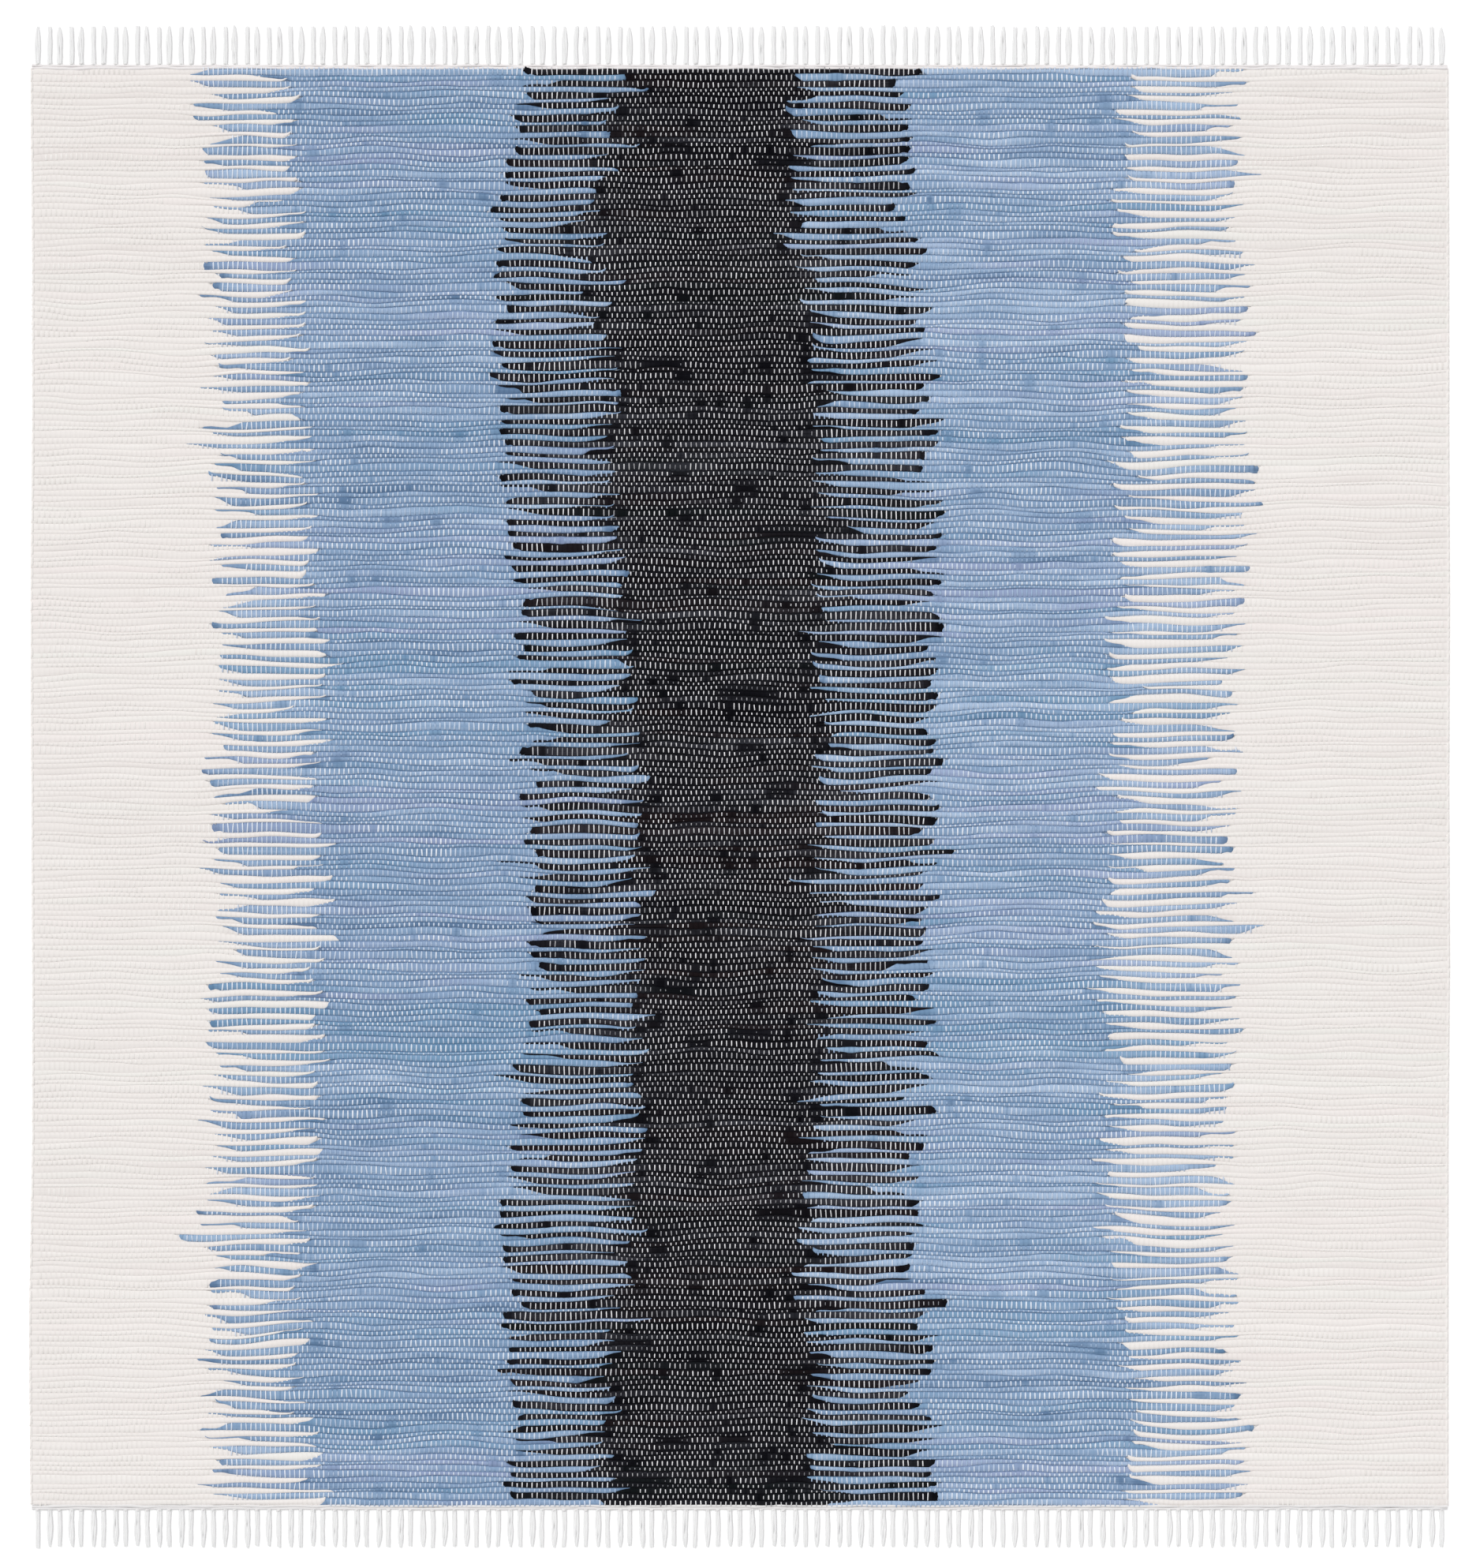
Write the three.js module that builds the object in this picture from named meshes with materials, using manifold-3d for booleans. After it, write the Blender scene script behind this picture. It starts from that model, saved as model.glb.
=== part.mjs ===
// A flat handwoven cotton rug, laid out on the floor. One weft-faced cloth carries a raised rib
// for each pick of rag strip. At each end a narrow heading holds the warp ends, which are tied
// into a fringe.
//
// Millimetres. +Z is up, +X runs across the rug along the weft, and +Y runs along the warp.
// The origin is the centre of the footprint, on the floor.

import * as THREE from 'three';
import { mergeVertices } from 'three/addons/utils/BufferGeometryUtils.js';
import Module from 'manifold-3d';

// Cloth: a rug of six feet by six feet, with its fringes outside that length.
const CLOTH_WIDTH = 1829;
const CLOTH_LENGTH = 1851;
const CLOTH_THICKNESS = 6;
const PICK_COUNT = 254;
const RIB_HEIGHT = 1.4;
const RIB_UNEVENNESS = 0.35;
const SELVEDGE_SCALLOP = 0.5;
const CLOTH_COLUMNS = 6;

// Rag strips are torn by hand, so a pick is up to this share thicker or thinner than the mean,
// in a rhythm given as radians for each pick.
const PICK_SPREAD = 0.24;
const PICK_RHYTHM = { quick: 2.1, slow: 0.73 };

// The rows of weft bow a little between the two straight ends.
const ROW_BOW = 2.2;
const ROW_BOW_LENGTH = 1500;
const ROW_BOW_SHIFT = 9;

// How far each selvedge stands outside its mean line, at even steps from the far end to the
// near end.
const SELVEDGE_WAVER = [
  { left: 0.5, right: -1.0 },
  { left: -1.5, right: 0.0 },
  { left: -1.5, right: 0.0 },
  { left: 0.5, right: 1.0 },
  { left: -0.5, right: 0.0 },
  { left: -1.5, right: 1.0 },
  { left: -1.5, right: -1.0 },
  { left: 2.5, right: -1.0 },
  { left: 0.5, right: -1.0 },
];

// Heading: the plain band at each end, 0.3 mm clear of the cloth.
const HEADING_GAP = 0.3;
const HEADING_DEPTH = 6;
const HEADING_THICKNESS = 4.6;
const HEADING_INSET = 1;

// Fringe: strands of bunched warp, in two kinds that take turns.
const STRAND_COUNT = 129;
const FRINGE_MARGIN = 9.5;
const ROOT_INSIDE_HEADING = 1.5;
const STRAND_LENGTH_SPREAD = 1.2;
const STRAND_SWAY = 0.9;
const STRAND_TOP_SHARE = 0.6;

const STRAND_KINDS = [
  { name: 'straight', rootWidth: 6.2, middleWidth: 5.8, tipWidth: 5.2, aside: -0.35 },
  { name: 'bulged', rootWidth: 5.8, middleWidth: 7.6, tipWidth: 3.8, aside: 0.35 },
];

const STRAND_HEIGHTS = { root: 4.0, middle: 4.2, tip: 2.6 };

const FRINGES = [
  { name: 'far_fringe', outward: 1, strandLength: 48.6 },
  { name: 'near_fringe', outward: -1, strandLength: 47.4 },
];

const CLOTH_COLOUR = 0x8fa3b9;
const WARP_COLOUR = 0xebebeb;
const RANDOM_SEED = 6;

const wasm = await Module();
wasm.setup();

THREE.MathUtils.seededRandom(RANDOM_SEED);

/** A seeded value spread evenly from -size to size. */
function jitter(size) {
  return size * (2 * THREE.MathUtils.seededRandom() - 1);
}

/**
 * A closed solid through a row of sections, each a loop with the same number of points,
 * with a cap on its first and last section.
 */
function loft(sections) {
  const round = sections[0].length;
  const positions = sections.flat().flatMap((point) => [point.x, point.y, point.z]);
  const triangles = [];
  for (let section = 0; section < sections.length - 1; section += 1) {
    for (let corner = 0; corner < round; corner += 1) {
      const here = section * round + corner;
      const beside = section * round + ((corner + 1) % round);
      triangles.push(here, beside, beside + round);
      triangles.push(here, beside + round, here + round);
    }
  }
  const last = (sections.length - 1) * round;
  for (let corner = 1; corner < round - 1; corner += 1) {
    triangles.push(0, corner + 1, corner);
    triangles.push(last, last + corner, last + corner + 1);
  }
  const geometry = new THREE.BufferGeometry();
  geometry.setAttribute('position', new THREE.Float32BufferAttribute(positions, 3));
  geometry.setIndex(triangles);
  return geometry;
}

/** The closed geometry as a solid that can be joined to others. */
function solidOf(geometry) {
  const merged = mergeVertices(geometry);
  return new wasm.Manifold(
    new wasm.Mesh({
      numProp: 3,
      vertProperties: merged.getAttribute('position').array,
      triVerts: new Uint32Array(merged.getIndex().array),
    }),
  );
}

/** The closed geometries fused into one. */
function fused(geometries) {
  const mesh = wasm.Manifold.union(geometries.map(solidOf)).getMesh();
  const geometry = new THREE.BufferGeometry();
  geometry.setAttribute('position', new THREE.BufferAttribute(mesh.vertProperties, 3));
  geometry.setIndex(new THREE.BufferAttribute(mesh.triVerts, 1));
  return geometry;
}

/** The distance of each pick's edge from the cloth's far end, as a share of its length. */
function pickEdges() {
  const edges = [0];
  for (let pick = 0; pick < PICK_COUNT; pick += 1) {
    const swing = Math.sin(PICK_RHYTHM.quick * pick) * Math.cos(PICK_RHYTHM.slow * pick);
    edges.push(edges[pick] + 1 + PICK_SPREAD * swing);
  }
  return edges.map((edge) => edge / edges[PICK_COUNT]);
}

/** Where a selvedge stands outside its mean line, at a share of the way to the near end. */
function selvedgeWaver(side, share) {
  const place = share * (SELVEDGE_WAVER.length - 1);
  const row = Math.min(Math.floor(place), SELVEDGE_WAVER.length - 2);
  const blend = THREE.MathUtils.smoothstep(place - row, 0, 1);
  return THREE.MathUtils.lerp(SELVEDGE_WAVER[row][side], SELVEDGE_WAVER[row + 1][side], blend);
}

/** How far the rows of weft bow along the warp at a place on the cloth. */
function rowBow(x, share) {
  const awayFromEnds = Math.sin(Math.PI * share);
  const turn = (2 * Math.PI * x) / ROW_BOW_LENGTH + ROW_BOW_SHIFT * share;
  return ROW_BOW * awayFromEnds * Math.sin(turn);
}

/** One section across the cloth: two corners on the floor, then the top from right to left. */
function clothSection(share, height, outward) {
  const left = -CLOTH_WIDTH / 2 - selvedgeWaver('left', share) - outward;
  const right = CLOTH_WIDTH / 2 + selvedgeWaver('right', share) + outward;
  const place = (x, z) => new THREE.Vector3(x, CLOTH_LENGTH * (0.5 - share) + rowBow(x, share), z);
  const section = [place(left, 0), place(right, 0)];
  for (let column = CLOTH_COLUMNS; column >= 0; column -= 1) {
    const x = THREE.MathUtils.lerp(left, right, column / CLOTH_COLUMNS);
    section.push(place(x, height + jitter(RIB_UNEVENNESS)));
  }
  return section;
}

/** The woven cloth: a valley between each two picks, and a rib along each pick. */
function clothGeometry() {
  const edges = pickEdges();
  const crest = CLOTH_THICKNESS - RIB_UNEVENNESS;
  const valley = crest - RIB_HEIGHT;
  const sections = [clothSection(edges[0], valley, 0)];
  for (let pick = 0; pick < PICK_COUNT; pick += 1) {
    const middle = (edges[pick] + edges[pick + 1]) / 2;
    sections.push(clothSection(middle, crest, SELVEDGE_SCALLOP));
    sections.push(clothSection(edges[pick + 1], valley, 0));
  }
  return loft(sections);
}

/** A section across a bar or strand: flat on the floor, and narrower at its top. */
function barSection(centre, across, width, topShare, height) {
  const corner = (share, z) => centre.clone().addScaledVector(across, share * width).setZ(z);
  return [
    corner(-0.5, 0),
    corner(0.5, 0),
    corner(topShare / 2, height),
    corner(-topShare / 2, height),
  ];
}

/** One strand, from inside the heading to its tip, level on the floor. */
function strandGeometry(kind, rootX, rootY, outward, length) {
  const across = new THREE.Vector3(outward, 0, 0);
  const at = (aside, along) => new THREE.Vector3(rootX + aside, rootY + outward * along, 0);
  const bend = jitter(STRAND_SWAY);
  const lean = jitter(STRAND_SWAY);
  const sections = [
    { centre: at(0, -ROOT_INSIDE_HEADING), width: kind.rootWidth, height: STRAND_HEIGHTS.root },
    { centre: at(bend, length / 2), width: kind.middleWidth, height: STRAND_HEIGHTS.middle },
    { centre: at(lean, length), width: kind.tipWidth, height: STRAND_HEIGHTS.tip },
  ];
  return loft(
    sections
      .map(({ centre, width, height }) =>
        barSection(centre, across, width, STRAND_TOP_SHARE, height),
      )
      .reverse(),
  );
}

/** The heading bar at one end of the cloth, with its row of strands fused to it. */
function fringeGeometry({ outward, strandLength }) {
  const innerY = outward * (CLOTH_LENGTH / 2 + HEADING_GAP);
  const outerY = innerY + outward * HEADING_DEPTH;
  const barEnd = CLOTH_WIDTH / 2 - HEADING_INSET;
  const across = new THREE.Vector3(0, 1, 0);
  const barSectionAt = (x) => {
    const centre = new THREE.Vector3(x, (innerY + outerY) / 2, 0);
    return barSection(centre, across, HEADING_DEPTH, 1, HEADING_THICKNESS);
  };
  const bar = loft([barSectionAt(-barEnd), barSectionAt(barEnd)]);
  const pitch = (CLOTH_WIDTH - 2 * FRINGE_MARGIN) / (STRAND_COUNT - 1);
  const strands = [];
  for (let strand = 0; strand < STRAND_COUNT; strand += 1) {
    const kind = STRAND_KINDS[strand % STRAND_KINDS.length];
    const x = -CLOTH_WIDTH / 2 + FRINGE_MARGIN + strand * pitch + outward * kind.aside;
    const length = strandLength + jitter(STRAND_LENGTH_SPREAD);
    strands.push(strandGeometry(kind, x, outerY, outward, length));
  }
  return fused([bar, ...strands]);
}

/** A named mesh in a matt cotton colour. */
function cottonMesh(name, geometry, color) {
  const material = new THREE.MeshStandardMaterial({ color, roughness: 0.95, metalness: 0 });
  const mesh = new THREE.Mesh(geometry, material);
  mesh.name = name;
  return mesh;
}

/** The whole rug, centred over the origin. */
function buildRug() {
  const rug = new THREE.Group();
  rug.name = 'handwoven_cotton_rug';
  rug.add(cottonMesh('woven_cloth', clothGeometry(), CLOTH_COLOUR));
  for (const fringe of FRINGES) {
    rug.add(cottonMesh(fringe.name, fringeGeometry(fringe), WARP_COLOUR));
  }
  const centre = new THREE.Box3().setFromObject(rug).getCenter(new THREE.Vector3());
  rug.position.set(-centre.x, -centre.y, 0);
  return rug;
}

export default buildRug();
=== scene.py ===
"""Looks of a flat handwoven cotton rug, laid on a pale floor and seen from straight above.

The cloth is built as it is woven. Strips of cotton rag lie side by side as the picks of the weft,
and each pick changes rag at four places, in turn further out and further in, so that the colours
reach into each other as fingers. Short floats of white warp cross each pick. Each end has a plain
heading, and a fringe of warp yarns tied in strands.

Lengths are metres. +X runs along the weft, +Y along the warp, and +Z up from the floor.
"""

import enum
import logging
import math
from collections.abc import Mapping, Sequence
from dataclasses import dataclass
from functools import cached_property
from typing import NamedTuple, Protocol

import bpy
import numpy as np
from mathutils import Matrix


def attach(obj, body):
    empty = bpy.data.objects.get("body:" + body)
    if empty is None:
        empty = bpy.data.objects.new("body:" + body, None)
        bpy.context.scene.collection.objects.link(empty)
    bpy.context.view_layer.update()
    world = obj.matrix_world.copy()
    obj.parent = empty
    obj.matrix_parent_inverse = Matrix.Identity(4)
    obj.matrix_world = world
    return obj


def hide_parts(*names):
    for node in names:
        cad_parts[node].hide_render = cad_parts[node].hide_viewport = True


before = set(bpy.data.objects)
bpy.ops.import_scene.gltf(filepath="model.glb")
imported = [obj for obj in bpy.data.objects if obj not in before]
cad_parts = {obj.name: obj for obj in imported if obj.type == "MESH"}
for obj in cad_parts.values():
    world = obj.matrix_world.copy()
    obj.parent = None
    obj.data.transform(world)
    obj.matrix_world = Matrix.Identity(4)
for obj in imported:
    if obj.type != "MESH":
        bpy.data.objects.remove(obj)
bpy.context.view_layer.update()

log = logging.getLogger("rug")

MM = 0.001
BODY = "root"
BAKE_MAP = "OFBake"

# A span is a least and a most, and a pitch is lumps in a metre along X, Y and Z.
Number = float | int
Span = tuple[float, float]
Pitch = tuple[float, float, float]
Colour = tuple[float, float, float, float]


def linear(red: int, green: int, blue: int) -> Colour:
    """Turn a colour as seen on a screen into the linear light that a shader works in.

    Args:
        red: Red from 0 to 255.
        green: Green from 0 to 255.
        blue: Blue from 0 to 255.

    Returns:
        The three linear values from 0 to 1, and full cover.
    """
    shares = (red / 255, green / 255, blue / 255)
    light = (s / 12.92 if s <= 0.04045 else ((s + 0.055) / 1.055) ** 2.4 for s in shares)
    return (*light, 1.0)


def ripple(
    random: np.random.Generator, rows: int, places: np.ndarray, spacing: float
) -> np.ndarray:
    """Make rows of smooth noise along a line, each row by itself.

    Args:
        random: Source of the noise.
        rows: Number of rows.
        places: Where the noise is wanted, in rising order.
        spacing: Distance between the bends of the noise.

    Returns:
        An array of rows by places, with a spread of about 1.
    """
    first_bend = 0.37
    knots = np.arange(places[0] - spacing, places[-1] + 3 * spacing, spacing)
    values = random.normal(size=(rows, len(knots)))
    at = (places - knots[0] + spacing * first_bend) / spacing
    low = at.astype(int)
    blend = (1 - np.cos(np.pi * (at - low))) / 2
    return values[:, low] * (1 - blend) + values[:, low + 1] * blend


def put_in_scene(name: str, data: bpy.types.ID) -> bpy.types.Object:
    """Put a mesh, a lamp or a camera in the scene.

    Args:
        name: Name of the new object.
        data: What the object shows.

    Returns:
        The object.
    """
    holder = bpy.data.objects.new(name, data)
    bpy.context.scene.collection.objects.link(holder)
    return holder


class Value:
    """One output of a node, on which Python's operators add Math nodes."""

    def __init__(self, graph: "Graph", socket: bpy.types.NodeSocket) -> None:
        """Keep the graph and the socket that the value stands for."""
        self.graph = graph
        self.socket = socket

    def _math(self, operation: str, *operands: "Value | Number") -> "Value":
        """Add a Math node over the operands, in their order."""
        return self.graph.value("ShaderNodeMath", dict(enumerate(operands)), operation=operation)

    def __add__(self, other: "Value | Number") -> "Value":
        """Add."""
        return self._math("ADD", self, other)

    __radd__ = __add__

    def __sub__(self, other: "Value | Number") -> "Value":
        """Subtract."""
        return self._math("SUBTRACT", self, other)

    def __rsub__(self, other: Number) -> "Value":
        """Subtract from a number."""
        return self._math("SUBTRACT", other, self)

    def __mul__(self, other: "Value | Number") -> "Value":
        """Multiply."""
        return self._math("MULTIPLY", self, other)

    __rmul__ = __mul__

    def __abs__(self) -> "Value":
        """Size without sign."""
        return self._math("ABSOLUTE", self)

    def floor(self) -> "Value":
        """Whole number at or below the value."""
        return self._math("FLOOR", self)

    def fraction(self) -> "Value":
        """What is left above the whole number."""
        return self._math("FRACT", self)

    def zigzag(self) -> "Value":
        """1 at each whole number, and 0 halfway between them."""
        return abs(self.fraction() - 0.5) * 2

    def above(self, limit: "Value | Number") -> "Value":
        """1 where the value is above a limit, and 0 elsewhere."""
        return self._math("GREATER_THAN", self, limit)

    def ramp(self, low: Number, high: Number) -> "Value":
        """Rise smoothly from 0 at low to 1 at high."""
        sockets = {"Value": self, "From Min": low, "From Max": high}
        return self.graph.value("ShaderNodeMapRange", sockets, interpolation_type="SMOOTHSTEP")

    def between(self, low: float, high: float) -> "Value":
        """Spread a share from 0 to 1 out from low to high."""
        return low + self * (high - low)


class Graph:
    """A node tree that is filled by one method."""

    def __init__(self, tree: bpy.types.NodeTree) -> None:
        """Start with an empty tree."""
        self.tree = tree
        tree.nodes.clear()

    def node(
        self, kind: str, sockets: Mapping[str | int, object] | None = None, **settings: object
    ) -> bpy.types.Node:
        """Add a node, with its settings first and then the values or links of its sockets.

        Args:
            kind: Blender's name of the node type.
            sockets: Input values, Values or sockets, by the input's name or number.
            settings: Node properties by name.

        Returns:
            The new node.
        """
        node = self.tree.nodes.new(kind)
        for name, setting in settings.items():
            setattr(node, name, setting)
        for key, given in (sockets or {}).items():
            if isinstance(given, Value):
                self.tree.links.new(given.socket, node.inputs[key])
            else:
                node.inputs[key].default_value = given
        return node

    def value(
        self,
        kind: str,
        sockets: Mapping[str | int, object] | None = None,
        out: str | int = 0,
        **settings: object,
    ) -> Value:
        """Add a node and give back one of its outputs."""
        return Value(self, self.node(kind, sockets, **settings).outputs[out])

    def split(self, vector: Value) -> tuple[Value, Value]:
        """X and Y of a vector."""
        parts = self.node("ShaderNodeSeparateXYZ", {"Vector": vector}).outputs
        return Value(self, parts["X"]), Value(self, parts["Y"])

    def joined(self, **parts: Value | Number) -> Value:
        """Vector from its X, Y and Z, where one that isn't given is 0."""
        return self.value("ShaderNodeCombineXYZ", parts)

    def mix(self, factor: Value | Number, first: Value | Colour, second: Value | Colour) -> Value:
        """Blend two colours, by a factor that is 0 for the first and 1 for the second."""
        return self.value("ShaderNodeMix", {0: factor, 6: first, 7: second}, 2, data_type="RGBA")


class ShaderGraph(Graph):
    """The nodes of one material."""

    def attribute(self, name: str) -> Value:
        """Read a number that the piece's mesh holds."""
        settings = {"attribute_type": "GEOMETRY", "attribute_name": name}
        return self.value("ShaderNodeAttribute", out="Fac", **settings)

    @cached_property
    def place(self) -> Value:
        """Position on the object, in metres."""
        return self.value("ShaderNodeTexCoord", out="Object")

    def noise(self, per_metre: Pitch, detail: float = 2.0) -> Value:
        """Add noise with its own pitch on each axis.

        Args:
            per_metre: Lumps in a metre along X, Y and Z.
            detail: How many finer layers are added.

        Returns:
            A value from 0 to 1.
        """
        scaled = self.value("ShaderNodeMapping", {"Vector": self.place, "Scale": per_metre})
        return self.value("ShaderNodeTexNoise", {"Vector": scaled, "Scale": 1.0, "Detail": detail})

    def surface(self, **inputs: object) -> None:
        """End the graph with a surface.

        Args:
            inputs: Values of the surface's inputs, with _ for each space in a name.
        """
        sockets = {name.replace("_", " "): given for name, given in inputs.items()}
        made = self.value("ShaderNodeBsdfPrincipled", sockets)
        self.node("ShaderNodeOutputMaterial", {"Surface": made})

    def cloth(
        self, colour: Value, roughness: Value, height: Value, relief: float, shine: float
    ) -> None:
        """End the graph with a matt cotton surface.

        Args:
            colour: Base colour.
            roughness: Roughness.
            height: Height of the relief, from 0 to 1.
            relief: Depth of the relief in metres.
            shine: Specular level, the same all over.
        """
        bump = self.value("ShaderNodeBump", {"Distance": relief, "Height": height})
        self.surface(Base_Color=colour, Roughness=roughness, Specular_IOR_Level=shine, Normal=bump)


class Finish(Protocol):
    """Anything that can fill a material's graph."""

    name: str

    def fill(self, graph: ShaderGraph) -> None:
        """Add the finish's nodes."""


def material_of(finish: Finish) -> bpy.types.Material:
    """Find the material of a finish, or build it the first time.

    Args:
        finish: The finish.

    Returns:
        Its material.
    """
    known = bpy.data.materials.get(finish.name)
    if known:
        return known
    material = bpy.data.materials.new(finish.name)
    material.use_nodes = True
    finish.fill(ShaderGraph(material.node_tree))
    return material


class Rag(enum.Enum):
    """Colours of rag in the weft."""

    WHITE = "white"
    BLUE = "blue"
    BLACK = "black"


class ByRag(NamedTuple):
    """A number for each rag."""

    white: float
    blue: float
    black: float

    def of(self, rag: Rag) -> float:
        """Look up the number of a rag."""
        return getattr(self, rag.value)


@dataclass(frozen=True)
class RagFinish:
    """Torn strips of dyed cotton cloth, folded on themselves.

    The mesh gives tone, from 0 for the deepest dye to 1 for the palest, less painted shade at
    knots, bunches and bare joins, tint, from -1 for the cool cast to 1 for the warm one, across,
    from -1 to 1 over the width of a strip, and warp, which is a whole number under each float of
    warp that crosses the strip. The groove colour is painted shade: near a strip's edges it stands
    for the shade in the grooves between picks, and around each float of warp, in patches, for the
    shade in the dip of the rag there. Pitches are lumps in a metre along X, Y and Z, and a span
    says where a ramp starts and ends.
    """

    name: str
    deep: Colour
    middle: Colour
    pale: Colour
    cool: Colour
    warm: Colour
    # The groove colour, its depth and the pinch paint shade into the grooves between picks and around
    # the floats.
    groove_shade: Colour
    groove_shade_strength: float
    dent_shade_strength: float = 0.3
    waver: float = 0.34
    shine: float = 0.12
    cast: float = 0.5
    mottle: float = 0.5
    streak_mottle: float = 0.5
    fibre_mottle: float = 0.16
    bends: Pitch = (62.0, 90.0, 60.0)
    streaks: Pitch = (22.0, 620.0, 300.0)
    patches: Pitch = (13.0, 95.0, 40.0)
    creases: Pitch = (9.0, 330.0, 120.0)
    fibres: Pitch = (900.0, 2400.0, 900.0)
    breaks: Pitch = (26.0, 140.0, 60.0)
    cast_span: Span = (0.1, 1.0)
    edge_span: Span = (0.72, 1.08)
    edge_beat: float = 0.16
    break_span: Span = (0.32, 0.62)
    broken_groove_shade: float = 0.12
    dent_span: Span = (0.45, 0.85)
    dented_patches: Span = (0.38, 0.58)
    roughness: Span = (0.84, 0.98)
    crease_lift: float = 0.4
    streak_lift: float = 0.2
    fibre_lift: float = 0.1
    beat_dip: float = 0.5
    relief: float = 0.5 * MM

    def fill(self, graph: ShaderGraph) -> None:
        """Add the finish's nodes.

        Args:
            graph: Graph of the material.
        """
        streak = graph.noise(self.streaks, 3.0)
        patch = graph.noise(self.patches)
        crease = graph.noise(self.creases, 1.0)
        fibre = graph.noise(self.fibres)
        beat = graph.attribute("warp").zigzag()
        mottled = (streak - 0.5) * self.streak_mottle + (patch - 0.5) * self.mottle
        tone = graph.attribute("tone") + mottled + (fibre - 0.5) * self.fibre_mottle
        dyed = graph.mix(tone.ramp(0.0, 0.5), self.deep, self.middle)
        dyed = graph.mix(tone.ramp(0.5, 1.0), dyed, self.pale)
        tint = graph.attribute("tint")
        cast = graph.mix(tint.ramp(*self.cast_span) * self.cast, dyed, self.warm)
        cast = graph.mix((tint * -1).ramp(*self.cast_span) * self.cast, cast, self.cool)
        # Painted shade in the dips of the rag around each float of warp, in patches.
        dent_shade = beat.ramp(*self.dent_span) * patch.ramp(*self.dented_patches) * self.dent_shade_strength
        # Painted shade in the grooves between picks, near each strip's edges, broken in places.
        aside = (graph.noise(self.bends) - 0.5) * self.waver
        off_middle = abs(graph.attribute("across") + aside)
        edge = (off_middle + beat * self.edge_beat).ramp(*self.edge_span)
        whole = graph.noise(self.breaks, 1.0).ramp(*self.break_span)
        groove_shade = edge * whole.between(self.broken_groove_shade, 1) * self.groove_shade_strength
        colour = graph.mix(groove_shade, graph.mix(dent_shade, cast, self.groove_shade), self.groove_shade)
        height = crease * self.crease_lift + streak * self.streak_lift + fibre * self.fibre_lift
        height = height - beat * beat * self.beat_dip
        graph.cloth(colour, fibre.between(*self.roughness), height, self.relief, self.shine)


@dataclass(frozen=True)
class YarnFinish:
    """Plied cotton yarn: the warp, the heading and the fringe.

    The mesh may give shade, from 0 for clean yarn to 1 for yarn sunk among the rags: partly the
    yarn's own spread of colour and partly painted shade on floats pressed down beside bunches. The
    twist paints shade into the grooves between the plies.
    """

    name: str
    colour: Colour
    shade: Colour
    lint: float = 0.25
    twist: float = 0.15
    patch: float = 0.25
    clean: float = 0.55
    lints: Pitch = (1500.0, 1500.0, 1500.0)
    patches: Pitch = (60.0, 60.0, 60.0)
    plies_per_metre: float = 520.0
    slant: float = 0.8
    roughness: Span = (0.86, 0.98)
    twist_lift: float = 0.7
    lint_lift: float = 0.3
    shine: float = 0.12
    relief: float = 0.25 * MM

    def fill(self, graph: ShaderGraph) -> None:
        """Add the finish's nodes.

        Args:
            graph: Graph of the material.
        """
        x, y = graph.split(graph.place)
        lint = graph.noise(self.lints)
        patch = graph.noise(self.patches, 1.0)
        # The twist lightens the plies' crowns and darkens the grooves between them: painted shade, on
        # the pattern of the bump.
        twist = ((x + y * self.slant) * self.plies_per_metre).zigzag()
        fibre_and_ply_shade = twist * self.twist + lint * self.lint + patch * self.patch
        # Shade from the mesh draws the yarn towards the shade colour: partly its own spread of
        # colour, partly painted shade.
        wear_and_shade = (self.clean + fibre_and_ply_shade - graph.attribute("shade")).ramp(0.0, 1.0)
        colour = graph.mix(wear_and_shade, self.shade, self.colour)
        height = twist * self.twist_lift + lint * self.lint_lift
        graph.cloth(colour, lint.between(*self.roughness), height, self.relief, self.shine)


class StripeTips(NamedTuple):
    """Where the rags' tips lie across the rug, in millimetres from its middle line.

    The left half's columns come first. A far-reaching pick has the outermost four, and a
    near-reaching pick the other four.
    """

    blue_out_left: int
    white_in_left: int
    black_out_left: int
    blue_in_left: int
    blue_in_right: int
    black_out_right: int
    white_in_right: int
    blue_out_right: int


# One row for each tenth of the cloth's length, from the far end to the near end.
STRIPE_TIPS = (
    StripeTips(-692, -590, -275, -151, 68, 216, 496, 643),
    StripeTips(-691, -570, -305, -184, 66, 216, 488, 645),
    StripeTips(-678, -566, -313, -166, 97, 246, 501, 650),
    StripeTips(-682, -556, -303, -158, 97, 251, 495, 656),
    StripeTips(-667, -535, -283, -140, 102, 253, 478, 640),
    StripeTips(-678, -545, -279, -134, 102, 252, 486, 633),
    StripeTips(-682, -537, -265, -122, 88, 243, 465, 641),
    StripeTips(-682, -539, -278, -128, 106, 241, 480, 633),
    StripeTips(-682, -551, -308, -132, 75, 223, 468, 629),
    StripeTips(-688, -570, -300, -156, 88, 241, 503, 643),
    StripeTips(-685, -535, -298, -176, 102, 249, 501, 655),
)


class SelvedgeWaver(NamedTuple):
    """How far the selvedges stand outside their mean lines, in millimetres."""

    left: float
    right: float


# Even steps from the far end to the near end.
SELVEDGE_WAVER = (
    SelvedgeWaver(0.5, -1.0),
    SelvedgeWaver(-1.5, 0.0),
    SelvedgeWaver(-1.5, 0.0),
    SelvedgeWaver(0.5, 1.0),
    SelvedgeWaver(-0.5, 0.0),
    SelvedgeWaver(-1.5, 1.0),
    SelvedgeWaver(-1.5, -1.0),
    SelvedgeWaver(2.5, -1.0),
    SelvedgeWaver(0.5, -1.0),
)


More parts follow.
